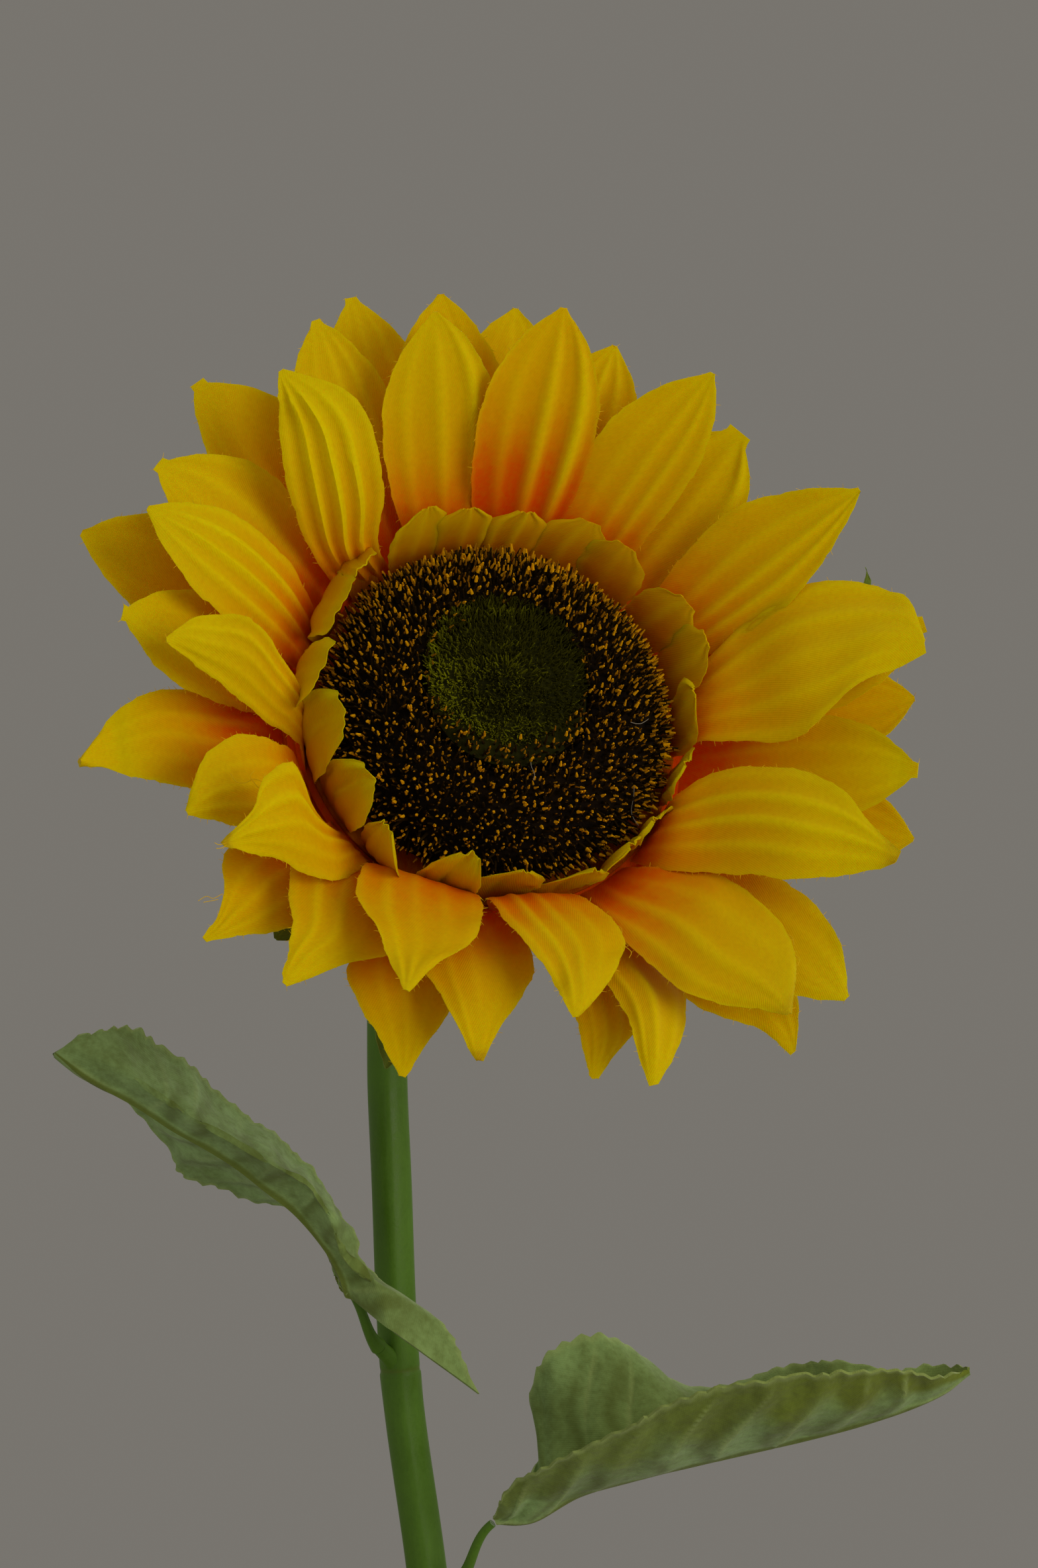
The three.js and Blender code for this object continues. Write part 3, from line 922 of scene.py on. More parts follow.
TIP_OCHRE = Fibre("bristle_tip_ochre", (0.62, 0.28, 0.0), 0.7, 0.08)
TIP_BROWN = Fibre("bristle_tip_brown", (0.32, 0.13, 0.0), 0.7, 0.08)
FELT = (150.0, 900.0, 900.0, 0.0006, 0.95, 0.1)
DISC_FELT = Crumble("disc_felt", (0.004, 0.002, 0.001), (0.012, 0.006, 0.002), *FELT)
PILE_PAINTED_SHADE = Fibre("pile_painted_shade", (0.045, 0.043, 0.001), 0.9, 0.05)
PILE_GREEN = Fibre("pile_green", (0.12, 0.12, 0.002), 0.9, 0.05)
PILE_PAINTED_LIGHT = Fibre("pile_painted_light", (0.24, 0.25, 0.004), 0.9, 0.05)
BUTTON_FELT = Crumble("button_felt", (0.012, 0.012, 0.001), (0.03, 0.03, 0.002), *FELT)
THREAD = Fibre("petal_thread", (0.85, 0.55, 0.01), 0.7, 0.1)
PALE_THREAD = Fibre("pale_thread", (0.3, 0.28, 0.25), 0.5, 0.3)
CLAY = FiredClay("fired_clay", (0.52, 0.21, 0.105), (0.38, 0.13, 0.06), (0.66, 0.5, 0.4), 0.12)
SOIL = Crumble("potting_soil", (0.022, 0.014, 0.009), (0.075, 0.048, 0.03))
CRUMB = Crumble("potting_crumb", (0.03, 0.02, 0.013), (0.11, 0.072, 0.045))
PALE_FLOOR = Fibre("pale_floor", (0.5, 0.49, 0.47), 0.8, 0.25)


# What repeats


class Seat(Enum):
    """Where the fibres of a field stand."""

    POINTS = "points"
    MARGIN = "margin"


class Growth:
    """A node tree that sets copies on seats, with the values of its named inputs."""

    def __init__(self, name: str, values: dict[str, Any]) -> None:
        """Starts the tree.

        Args:
            name: what its piece is called.
            values: the value of each named input; Finish and Seed are among them.
        """
        tree = bpy.data.node_groups.new(name + "_tree", "GeometryNodeTree")
        socket(tree, "Ground", "Geometry")
        kinds = {float: "Float", int: "Int"}
        self.values = {}
        for label, value in values.items():
            item = socket(tree, label, kinds.get(type(value), "Material"))
            self.values[item.identifier] = value
        socket(tree, "Copies", "Geometry", "OUTPUT")
        self.bench = Bench(tree)
        self.given = self.bench.add("NodeGroupInput").outputs
        self.gives = self.bench.add("NodeGroupOutput").inputs

    def chance(self, least: Any, most: Any, shift: float = 0.0) -> Socket:
        """Three random values between two others, fixed by the seed.

        Args:
            least: the lowest three.
            most: the highest three.
            shift: what is added to the seed.

        Returns:
            The values' socket.
        """
        seed = self.bench.plus(self.given["Seed"], shift) if shift else self.given["Seed"]
        inputs = {0: least, 1: most, "Seed": seed}
        return self.bench.add("FunctionNodeRandomValue", inputs, data_type="FLOAT_VECTOR").outputs[0]

    def kept(self, name: str, kind: str) -> Socket:
        """A value that the seats keep."""
        node = self.bench.add("GeometryNodeInputNamedAttribute", {"Name": name}, data_type=kind)
        return node.outputs["Attribute"]

    def run(self, piece: Thing, seats: Socket, copy: Socket, turn: Socket, size: Socket) -> Thing:
        """Sets the copies on their seats, dresses them and makes the piece its own plain mesh.

        Args:
            piece: what the tree works on.
            seats: the points that the copies stand on.
            copy: what is copied.
            turn: how each copy is turned.
            size: how large each copy is.

        Returns:
            The same piece, with the tree's modifier gone.
        """
        inputs = {"Points": seats, "Instance": copy, "Rotation": turn, "Scale": size}
        put = self.bench.add("GeometryNodeInstanceOnPoints", inputs)
        real = self.bench.add("GeometryNodeRealizeInstances", {0: put.outputs[0]})
        inputs = {"Geometry": real.outputs[0], "Material": self.given["Finish"]}
        self.bench.feed(self.gives[0], self.bench.add("GeometryNodeSetMaterial", inputs).outputs[0])
        maker = piece.modifiers.new("growth", "NODES")
        maker.node_group = self.bench.tree
        for identifier, value in self.values.items():
            maker[identifier] = value
        bpy.context.view_layer.update()
        seen = piece.evaluated_get(bpy.context.evaluated_depsgraph_get())
        mesh = bpy.data.meshes.new_from_object(seen)
        mesh.name = piece.name
        piece.modifiers.clear()
        piece.data = mesh
        return piece


@dataclass
class FibreField:
    """Short tapered fibres on points or along margins, laid out by a node tree.

    Each point carries its own lean, a direction, and its size, a share of the full length.
    """

    name: str
    start: float
    end: float
    foot: float
    head: float
    sides: int = 5
    wander: float = 0.15
    spread: float = 0.12
    spacing: float = 2.0
    seed: int = 1
    seat: Seat = Seat.POINTS

    def _run(self, piece: Thing, finish: Material) -> Thing:
        """Builds the tree and runs it.

        Args:
            piece: the seats.
            finish: the fibres' material.

        Returns:
            The piece.
        """
        values = {
            "Start": self.start * MM,
            "End": self.end * MM,
            "Foot Radius": self.foot * MM,
            "Head Radius": self.head * MM,
            "Wander": self.wander,
            "Spread": self.spread,
            "Spacing": self.spacing * MM,
            "Sides": self.sides,
            "Seed": self.seed,
            "Finish": finish,
        }
        tree = Growth(self.name, values)
        bench, given = tree.bench, tree.given
        if self.seat is Seat.POINTS:
            seats = bench.add("GeometryNodeMeshToPoints", {"Mesh": given["Ground"]})
        else:
            line = bench.add("GeometryNodeMeshToCurve", {"Mesh": given["Ground"]})
            inputs = {"Curve": line.outputs["Curve"], "Length": given["Spacing"]}
            seats = bench.add("GeometryNodeCurveToPoints", inputs, mode="LENGTH")
        inputs = {
            "Vertices": given["Sides"],
            "Radius Top": given["Head Radius"],
            "Radius Bottom": given["Foot Radius"],
            "Depth": bench.sum("SUBTRACT", given["End"], given["Start"]),
        }
        fibre = bench.add("GeometryNodeMeshCone", inputs, fill_type="NGON").outputs["Mesh"]
        raised = bench.add("ShaderNodeCombineXYZ", {"Z": given["Start"]}).outputs[0]
        moved = bench.add("GeometryNodeTransform", {"Geometry": fibre, "Translation": raised})
        lean = tree.kept("lean", "FLOAT_VECTOR")
        aligned = bench.add("FunctionNodeAlignRotationToVector", {"Vector": lean}, axis="Z")
        back, forth = bench.times(given["Wander"], -1.0), given["Wander"]
        least = bench.add("ShaderNodeCombineXYZ", {"X": back, "Y": back}).outputs[0]
        most = bench.add("ShaderNodeCombineXYZ", {"X": forth, "Y": forth, "Z": 2 * math.pi}).outputs[0]
        euler = bench.add("FunctionNodeEulerToRotation", {0: tree.chance(least, most)})
        inputs = {0: aligned.outputs[0], 1: euler.outputs[0]}
        turned = bench.add("FunctionNodeRotateRotation", inputs, rotation_space="LOCAL")
        inputs = {
            2: bench.sum("SUBTRACT", 1.0, given["Spread"]),
            3: bench.plus(1.0, given["Spread"]),
            "Seed": bench.plus(given["Seed"], 7.0),
        }
        chance = bench.add("FunctionNodeRandomValue", inputs, data_type="FLOAT").outputs[1]
        size = bench.times(tree.kept("size", "FLOAT"), chance)
        return tree.run(piece, seats.outputs["Points"], moved.outputs[0], turned.outputs[0], size)

    def grow(
        self, points: Array, leans: Array, sizes: Array, finish: Material, edges: Sequence[Any] = ()
    ) -> Thing:
        """Lays the field out and makes it a plain mesh.

        Args:
            points: the seats, in millimetres.
            leans: the direction of each fibre.
            sizes: the share of the full size of each fibre.
            finish: the fibres' material.
            edges: the margins as pairs of seats, for a field along margins.

        Returns:
            The piece.
        """
        mesh = bpy.data.meshes.new(self.name)
        mesh.from_pydata((points * MM).tolist(), edges, [])
        lean = mesh.attributes.new("lean", "FLOAT_VECTOR", "POINT")
        lean.data.foreach_set("vector", leans.astype(np.float32).ravel())
        size = mesh.attributes.new("size", "FLOAT", "POINT")
        size.data.foreach_set("value", sizes.astype(np.float32))
        piece = bpy.data.objects.new(self.name, mesh)
        bpy.context.scene.collection.objects.link(piece)
        return self._run(piece, finish)


@dataclass
class CrumbField:
    """Small crumbs scattered over a surface by a node tree."""

    name: str
    radius: float
    density: float
    seed: int = 4

    def scatter(self, ground: Thing, finish: Material) -> Thing:
        """Scatters the crumbs and makes them a plain mesh.

        Args:
            ground: the surface, which becomes the piece.
            finish: the crumbs' material.

        Returns:
            The piece.
        """
        values = {"Radius": self.radius * MM, "Density": self.density, "Seed": self.seed, "Finish": finish}
        tree = Growth(self.name, values)
        bench, given = tree.bench, tree.given
        inputs = {"Mesh": given["Ground"], "Density": given["Density"], "Seed": given["Seed"]}
        strewn = bench.add("GeometryNodeDistributePointsOnFaces", inputs, distribute_method="RANDOM")
        crumb = bench.add("GeometryNodeMeshIcoSphere", {"Radius": given["Radius"], "Subdivisions": 1})
        turn = bench.add("FunctionNodeEulerToRotation", {0: tree.chance((0, 0, 0), (6.28, 6.28, 6.28))})
        size = tree.chance((0.35, 0.35, 0.3), (1.25, 1.0, 0.8), 3.0)
        return tree.run(ground, strewn.outputs["Points"], crumb.outputs["Mesh"], turn.outputs[0], size)


# The bloom


def strands(name: str, lines: Any, radius: float, bloom: "BloomFrame", finish: Material) -> Thing:
    """Makes loose fibres along lines of places.

    Args:
        name: the piece's name.
        lines: for each fibre its places in the bloom's frame.
        radius: how thick the fibres are.
        bloom: where the bloom is.
        finish: their material.

    Returns:
        The piece.
    """
    draft = Draft(name)
    for line in lines:
        knots = np.array(line, float).reshape(-1, 3)
        flowing = threaded(knots, np.arange(len(knots)), np.linspace(0, len(knots) - 1, 4 * len(knots)))
        points, faces, _ = tube(bloom.place(flowing), np.full(len(flowing), radius), 4, start=(0.3, 0.2, 1))
        draft.add(points, faces)
    return draft.make(finish)


@dataclass
class BloomFrame:
    """Where the bloom is and which way it looks: x to its right, y up its face, z out of it."""

    middle: Triple = (2.9, -40.0, 475.9)
    yaw: float = 13.5
    pitch: float = 24.0

    def __post_init__(self) -> None:
        """Works out the three directions."""
        yaw, pitch = math.radians(self.yaw), math.radians(self.pitch)
        level = math.cos(pitch)
        self.facing = np.array([math.sin(yaw) * level, -math.cos(yaw) * level, math.sin(pitch)])
        self.right = unit(np.cross((0, 0, 1), self.facing))
        self.up = np.cross(self.facing, self.right)

    def aim(self, ways: Array) -> Array:
        """Carries directions from the bloom's own frame to the plant's."""
        return ways[..., :1] * self.right + ways[..., 1:2] * self.up + ways[..., 2:3] * self.facing

    def place(self, points: Array) -> Array:
        """Carries points from the bloom's own frame to the plant's."""
        return np.array(self.middle) + self.aim(points)


@dataclass(frozen=True)
class Petal:
    """One petal as bent by hand.

    The azimuth is in degrees from the bloom's right. Reach and rise give its tip, from the axis and
    in front of its layer; lift is the angle at which it leaves the layer and sweep how far its tip
    goes sideways. Pleat and ripple are in millimetres, roll in degrees, cup is how far its sides
    come forward, tone moves the dye's yellow towards the root and is partly painted shade on the
    petals that lie in shade, tip is how wide the tip stays, blunt how full its tip is, lean how much
    wider its clockwise side is, crests how many pleats it has, scorch how brown its tip is and ember
    how far its orange comes out. A petal with a net runs through it instead of bowing: nine numbers
    a row, the azimuth, reach and rise of its clockwise margin, middle and other margin, then three
    for its tip, or a last row.
    """

    azimuth: float
    reach: float
    rise: float
    lift: float
    sweep: float = 0.0
    width: float = 26.0
    pleat: float = 0.3
    ripple: float = 0.4
    roll: float = 0.0
    cup: float = 0.1
    crests: float = 4.0
    tone: float = 0.0
    tip: float = 0.05
    blunt: float = 0.0
    lean: float = 0.0
    scorch: float = 0.0
    ember: float = 0.0
    net: tuple[float, ...] = ()


@dataclass(frozen=True)
class PetalCut:
    """The die that cuts one kind of petal, and how finely it is modelled."""

    root: float
    thickness: float
    widest: float
    blunt: float
    rows: int
    columns: int
    foot: float = 0.5
    open_tip: bool = False

    def width(self, u: Array, petal: Petal) -> Array:
        """Share of the full width along a petal: a narrow foot, widest past the middle, then the tip.

        Args:
            u: the share along.
            petal: the petal.

        Returns:
            One share for each place along.
        """
        low = mix(self.foot, 1, np.sin(np.pi / 2 * np.clip(u / self.widest, 0, 1)))
        past = np.clip((u - self.widest) / (1 - self.widest), 0, 1)
        high = (1 - past ** (petal.blunt or self.blunt)) ** 0.85
        return np.where(u < self.widest, low, np.maximum(petal.tip, high))

    def bowed(self, petal: Petal, start: float, level: float, u: Array, v: Array) -> Array:
        """Places of a petal that bows in one sweep, along by across.

        Args:
            petal: how it is bent.
            start: how far from the axis it starts.
            level: its layer's height.
            u: the shares along, a column.
            v: the shares across, a row.

        Returns:
            The grid of places.
        """
        handle = 0.5 * math.hypot(petal.reach - start, petal.rise)
        out, up = handle * math.cos(math.radians(petal.lift)), handle * math.sin(math.radians(petal.lift))
        radius = (1 - u) ** 2 * start + 2 * u * (1 - u) * (start + out) + u * u * petal.reach
        rise = 2 * u * (1 - u) * up + u * u * petal.rise
        slope = np.arctan2(mix(up, petal.rise - up, u), mix(out, petal.reach - (start + out), u))
        half = petal.width / 2 * self.width(u, petal)
        across = half * v * (1 - petal.lean * np.sign(v))
        turn = np.radians(petal.roll) * ease(u * 2)
        raised = petal.cup * half * (v * v - 0.3) * np.minimum(1, 3 * u) + across * np.sin(turn)
        azimuth = math.radians(petal.azimuth)
        way = np.array([math.cos(azimuth), math.sin(azimuth), 0])
        side = np.array([-way[1], way[0], 0])
        return (
            (radius - raised * np.sin(slope))[..., None] * way
            + (across * np.cos(turn) + petal.sweep * u * u)[..., None] * side
            + (level + rise + raised * np.cos(slope))[..., None] * np.array([0, 0, 1.0])
        )

    def netted(self, petal: Petal, start: float, level: float, u: Array, v: Array) -> Array:
        """Places of a petal that runs through its net, along by across.

        Args:
            petal: how it is bent.
            start: how far from the axis it starts.
            level: its layer's height.
            u: the shares along, a column.
            v: the shares across, a row.

        Returns:
            The grid of places.
        """
        spread = math.degrees(petal.width / 2 * self.foot / start)
        net = [value for turn in (-spread, 0, spread) for value in (petal.azimuth + turn, start, 0)]
        net += petal.net
        if len(net) % 9:
            turn, reach, rise = net[-3:]
            blunt = math.degrees(petal.tip * petal.width / 2 / reach)
            net[-3:] = (turn - blunt, reach, rise, turn, reach, rise, turn + blunt, reach, rise)
        rows = np.array(net, float).reshape(-1, 3, 3)
        knots = polar(rows[..., 1], np.radians(rows[..., 0]), level + rows[..., 2])
        marks = travelled(knots[:, 1])
        lines = threaded(knots, marks / marks[-1], u[:, 0])
        return threaded(lines.transpose(1, 0, 2), (-1, 0, 1), v[0]).transpose(1, 0, 2)

    def surface(self, petal: Petal, start: float, level: float, seed: int) -> Grids:
        """One petal's middle surface in the bloom's frame.

        Args:
            petal: how it is bent.
            start: how far from the axis it starts.
            level: its layer's height.
            seed: fixes its small differences.

        Returns:
            Its places, the four form values and the weave coordinates, each a grid.
        """
        u = np.linspace(0, 1, self.rows + 1)[:, None]
        v = np.linspace(-1, 1, self.columns + 1)[None, :]
        dice = np.random.default_rng(seed)
        places = (self.netted if petal.net else self.bowed)(petal, start, level, u, v)
        phase = dice.uniform(-0.9, 0.9)
        drift = 1 + 0.1 * np.sin(3 * u + phase)
        swing = 0.5 + 0.5 * np.cos(np.pi * petal.crests * v * drift + phase)
        ridge = swing**2.2 * (0.65 + 0.35 * np.sin(2.2 * v + dice.uniform(0, 6)))
        if self.open_tip:
            slack, body = 1, ease(u * 2.5)
        else:
            slack = ease((1 - u) * 5)
            body = np.sin(np.pi * np.clip(u * 0.96 + 0.02, 0, 1)) ** 0.7 * (1 - 0.7 * np.abs(v) ** 5)
            body = body * ease((1 - u) * 6)
        lift = petal.pleat * (1.7 * (ridge - 0.35) + 0.5 * np.cos(2.4 * v + phase)) * body
        lift = lift + petal.ripple * waves(u * 2.2 + 0.2 * v, seed + 3, 3) * np.abs(v) ** 2 * ease(u * 3)
        lift = lift + petal.ripple * 0.8 * waves(v * 1.1 + 2, seed + 5, 3) * ease((u - 0.6) * 2.5) * slack
        places = places + normals(places) * lift[..., None]
        for edge, inner, rim in ((0, 1, np.maximum(-v, 0) ** 6), (-1, -2, np.maximum(v, 0) ** 6)):
            cut = 0.3 * waves(u[:, 0] * 9, seed + 11 + edge, 7) * ease(u[:, 0] * 4)
            way = unit(places[:, edge] - places[:, inner])
            places = places + way[:, None] * (cut[:, None] * rim)[..., None]
        length = travelled(places[:, self.columns // 2])[-1]
        # How strongly the painted crest highlight falls on each place.
        crest_highlight = ridge * body * min(1.0, petal.pleat / 0.6)
        # The petal's tone, partly painted shade, with a little random spread.
        tone = 0.5 + petal.tone + 0.02 * dice.standard_normal()
        values = np.broadcast_arrays(u * (1 - petal.ember), np.abs(v), crest_highlight, tone)
        weave = np.stack(np.broadcast_arrays(from_rib(places) / 10, u * length / 10), axis=-1)
        return places, np.stack(values, axis=-1), weave


@dataclass
class PetalLayer:
    """One die-cut layer: a washer round the bloom's axis and its petals."""

    name: str
    node: str
    slot: str
    cut: PetalCut
    finish: Finish
    petals: Sequence[Petal]
    index: int
    upper: bool = False

    def build(self, bloom: BloomFrame, wardrobe: Wardrobe) -> "Margins":
        """Builds and dresses the layer.

        Args:
            bloom: where the bloom is.
            wardrobe: the finishes.

        Returns:
            Its petals' margins.
        """
        top = -GAP - self.index * LAYER
        low = top - WASHER
        root = self.cut.root + max(0, self.index - 1) * ROOT_STEP
        points, faces = spun([(10, low), (root, low), (root, top), (10, top), (10, low)], 72)
        draft = Draft(self.name)
        draft.add(bloom.place(points), faces, np.tile([0, 0, 0, 0.5], (len(points), 1)))
        margins = Margins()
        for number, petal in enumerate(self.petals):
            seed = 100 * (self.index + 1) + number
            places, form, weave = self.cut.surface(petal, root - 1, top - WASHER / 2, seed)
            middle = bloom.place(places)
            share = form[..., 0]
            thin = self.cut.thickness * (1 - 0.75 * form[..., 1] ** 6) * (1 - 0.6 * share**8)
            upper, lower = form.copy(), form.copy()
            if self.upper:
                upper[..., 3], lower[..., 3] = 1.0, 0.0
            draft.add_cloth(middle, thin, upper, lower, weave, petal.scorch * ease((share - 0.93) / 0.07))
            margins.take(middle)
        settle(draft.make(wardrobe.wear(self.finish)), self.slot, self.node)
        return margins


@dataclass
class Margins:
    """The cut edges of the petals, for the threads that fray from them."""

    points: list[Array] = field(default_factory=list)
    leans: list[Array] = field(default_factory=list)
    edges: list[tuple[int, int]] = field(default_factory=list)
    count: int = 0

    def take(self, middle: Array) -> None:
        """Keeps both long margins of one petal from its grid, with the way out of the cloth.

        Args:
            middle: the petal's grid of places.
        """
        begin = len(middle) // 5
        for edge, inner in ((0, 1), (-1, -2)):
            line = middle[begin:, edge]
            self.points.append(line)
            self.leans.append(unit(line - middle[begin:, inner]))
            self.edges += [(self.count + k, self.count + k + 1) for k in range(len(line) - 1)]
            self.count += len(line)

    def join(self, other: "Margins") -> None:
        """Adds another layer's margins.

        Args:
            other: the margins to add.
        """
        self.points += other.points
        self.leans += other.leans
        self.edges += [(a + self.count, b + self.count) for a, b in other.edges]
        self.count += other.count


RAY_CUT = PetalCut(root=42.6, thickness=0.4, widest=0.56, blunt=2.1, rows=40, columns=28)
INNER_CUT = PetalCut(
    root=41.1, thickness=0.4, widest=0.6, blunt=3.4, rows=18, columns=24, foot=0.6, open_tip=True
)
SEPAL_CUT = PetalCut(root=42.6, thickness=0.5, widest=0.42, blunt=1.4, rows=24, columns=14)
FRONT = (
    Petal(98.5, 84, 36, 45, -1, pleat=1.05, crests=3),
    Petal(79.5, 85, 39, 54, -1, pleat=1.0, crests=3.2, tone=-0.12, ember=0.08),
    Petal(58, 84, 38, 50, -5, width=22.5, lean=-0.1),
    Petal(25.3, 88.2, 38, 46, 3, width=25, pleat=0.38, ripple=0.5, cup=0.05, lean=-0.2, blunt=1.4),
    Petal(3, 88, 38, 46, width=31, pleat=0.7, tone=0.06, ember=0.05, tip=0.1, net=(
        -9, 45, 11, 2.5, 46.5, 12, 15, 50, 11,
        -10.5, 54, 17, 4, 55, 18, 20, 60.5, 17,
        -11.5, 62, 24, 5.5, 63, 25, 20, 69.5, 23,
        -8, 67, 29, 5.5, 72, 30, 17.5, 78.5, 28,
        -2.5, 74, 33, 5.5, 79.5, 34, 13, 85.5, 32,
        -0.5, 83, 36, 3.5, 86, 37, 8.5, 88.5, 36,
        2, 88, 38,
    )),
    Petal(-37, 88, 38, 46, width=29, pleat=0.45, tone=0.06, scorch=0.7, tip=0.1, net=(
        -49, 49, 11, -38.5, 44.5, 12, -27, 42.5, 11,
        -45.5, 56, 16, -34, 50.5, 17, -21, 47, 16,
        -42.5, 64, 23, -31.5, 58.5, 24, -19, 56, 23,
        -40.5, 72, 29, -31, 67.5, 30, -20, 65.5, 29,
        -36.5, 80, 33, -30.5, 77, 34, -23.5, 74, 33,
        -33.5, 86, 36, -31, 85, 37, -28.5, 82.5, 36,
        -31.5, 88, 38,
    )),
    Petal(-59, 91, 36, 50, ripple=0.5, crests=3, tone=-0.1, scorch=0.6, net=(
        -72, 50.5, 12, -62, 48, 10, -51, 45, 8,
        -69, 64.5, 20, -58.5, 60, 19, -44, 55.5, 15,
        -67, 77, 26, -58.5, 73, 26, -44.5, 67.5, 21,
        -63, 84.5, 30, -57.5, 83, 31, -48, 78.5, 27,
        -60.5, 89, 33, -58, 88.5, 34, -52, 85, 31,
        -59, 92.5, 36,
    )),
    Petal(-86, 78, 35, 66, pleat=0.35, ripple=0.7, tone=-0.07, net=(
        -99, 44.5, 13, -86.5, 43, 12, -74.5, 44, 11,
        -96, 53.5, 22, -84.5, 51.5, 20, -71, 52.5, 17,
        -92, 62.5, 28, -83, 60.5, 26, -71.5, 60.5, 22,
        -89.5, 69.5, 31, -84.5, 68, 31, -76.5, 66.5, 27,
        -89, 75, 34, -86, 75, 34, -81.5, 72.5, 31,
        -87.5, 79, 35,
    )),
    Petal(-114, 78, 34, 72, ripple=0.8, tone=-0.07, net=(
        -131.5, 47.5, 13, -118, 44.5, 13, -101.5, 44, 13,
        -128, 59, 21, -115, 56, 21, -101.5, 53.5, 21,
        -122, 65.5, 27, -113, 65, 27, -104, 61, 26,
        -117, 72.5, 31, -113, 72, 32, -109.5, 69.5, 31,
        -113, 79, 35,
    )),
    Petal(-141, 78, 34, 74, pleat=0.5, ripple=0.8, tone=0.06, scorch=0.8, net=(
        -147, 48.5, 14, -139.5, 47.5, 12, -132.5, 46.5, 9,
        -150.5, 52.5, 24, -142, 53, 19, -133, 54, 13,
        -156, 54.5, 33, -146.5, 58, 26, -138, 61, 18,
        -155.5, 61.5, 34, -147.5, 64.5, 30, -142.5, 65.5, 24,
        -151, 66.5, 34, -148, 70.5, 33, -145, 71.5, 30,
        -148, 77.5, 35,
    )),
    Petal(-176, 74, 36, 70, pleat=0.45, tone=0.12, net=(
        -182.5, 43, 15, -176.5, 43, 12, -171, 44, 9,
        172, 49.5, 24, 179, 50, 20, 185, 51.5, 15,
        168.5, 57, 31, 175, 57.5, 27, 181.5, 59, 22,
        170, 65, 33, 175, 66, 31, 178.5, 67, 28,
        173, 70.5, 35, 175.5, 71.5, 34, -182.5, 71.5, 32,
        176.5, 74.5, 35,
    )),
    Petal(153.5, 84, 35, 60, 3, width=22, pleat=0.75, ripple=0.6, cup=-0.04, tone=0.05),
    Petal(123.5, 82, 38, 54, pleat=1.15, tone=0.1, net=(
        120.5, 46, 13, 129, 49, 13, 136, 53.5, 13,
        117, 51, 22, 128, 54, 22, 135.5, 60.5, 22,
        116, 57, 29, 126, 61, 29, 133, 67.5, 29,
        115.5, 65, 34, 124.5, 68.5, 34, 129.5, 74, 34,
        118, 72, 37, 125, 74, 37, 128, 77, 37,
        125.5, 81, 39,
    )),
)  # fmt: skip
MIDDLE = (
    Petal(94.5, 93.5, 28, 34, tone=-0.14, pleat=0.2),
    Petal(70, 87, 28, 36, -1, width=24, pleat=0.6),
    Petal(46, 83, 28, 36, 1, pleat=0.9, ripple=0.6, crests=3, tip=0.22, tone=0.14),
    Petal(9, 94, 28, 34, -1, tip=0.15, tone=-0.02, ember=-0.15),
    Petal(-13, 89, 28, 34, -1, tip=0.12, tone=-0.05, ember=-0.15),
    Petal(-46.5, 96.5, 28, 36, -4, width=25, pleat=0.35, ripple=0.6, cup=-0.05, lean=-0.15),
    Petal(-72, 92, 26, 40, width=22, pleat=0.32, ripple=0.5, crests=3, tip=0.08, tone=-0.03, net=(
        -76, 52.5, 9, -70, 53, 9, -63, 54.5, 7,
        -76.5, 62.5, 15, -70.5, 63, 15, -63, 65.5, 11,
        -76, 70.5, 19, -71, 72, 20, -64, 73.5, 16,
        -76.5, 78.5, 23, -73.5, 80, 24, -67.5, 80.5, 20,
        -77.5, 85.5, 25, -75.5, 86.5, 26, -72, 87, 24,
        -77, 92.5, 26,
    )),
    Petal(-102, 86, 26, 42, pleat=0.25, ripple=0.6, tone=-0.12, scorch=1.0, net=(
        -112, 48, 9, -105, 46, 9, -97, 44.5, 8,
        -113, 58.5, 15, -103, 54.5, 15, -90, 51.5, 12,
        -110.5, 66, 19, -101.5, 63.5, 20, -89, 60.5, 16,
        -106.5, 72, 22, -100.5, 72, 23, -92.5, 68, 20,
        -103, 80, 25, -100, 80, 25, -97, 77, 24,
        -100, 85.5, 26,
    )),
    Petal(-131, 86, 25, 44, ripple=0.5, tone=-0.02, net=(
        -145.5, 50.5, 9, -134.5, 46.5, 9, -122.5, 42.5, 8,
        -141, 62.5, 15, -130, 58.5, 15, -118, 54.5, 12,
        -134, 72, 21, -127, 68, 20, -117, 64, 16,
        -131, 79, 23, -128.5, 77.5, 23, -123, 72.5, 20,
        -129.5, 84, 25, -128.5, 83, 25, -126.5, 81, 23,
        -128.5, 85.5, 25,
    )),
    Petal(-159, 78, 25, 48, ripple=0.5, net=(
        -168, 46, 12, -158.5, 46, 9, -148.5, 48.5, 6,
        -169, 51.5, 18, -159.5, 52.5, 15, -150, 56, 11,
        -170, 59, 22, -160, 60.5, 20, -152, 62.5, 16,
        -166.5, 67.5, 24, -160, 68.5, 23, -154.5, 68.5, 20,
        -161.5, 73, 25, -158.5, 73.5, 25, -156, 73, 23,
        -157.5, 76.5, 25,
    )),
    Petal(168, 83, 27, 44, 2, width=23, cup=-0.06, ripple=0.7, tone=-0.03, tip=0.16),
    Petal(143.5, 88, 27, 38, 3, ripple=0.6, tone=-0.02, lean=0.25, tip=0.14),
    Petal(112, 93, 28, 34, 1, width=24, tone=-0.06, lean=-0.15, tip=0.1),
)  # fmt: skip
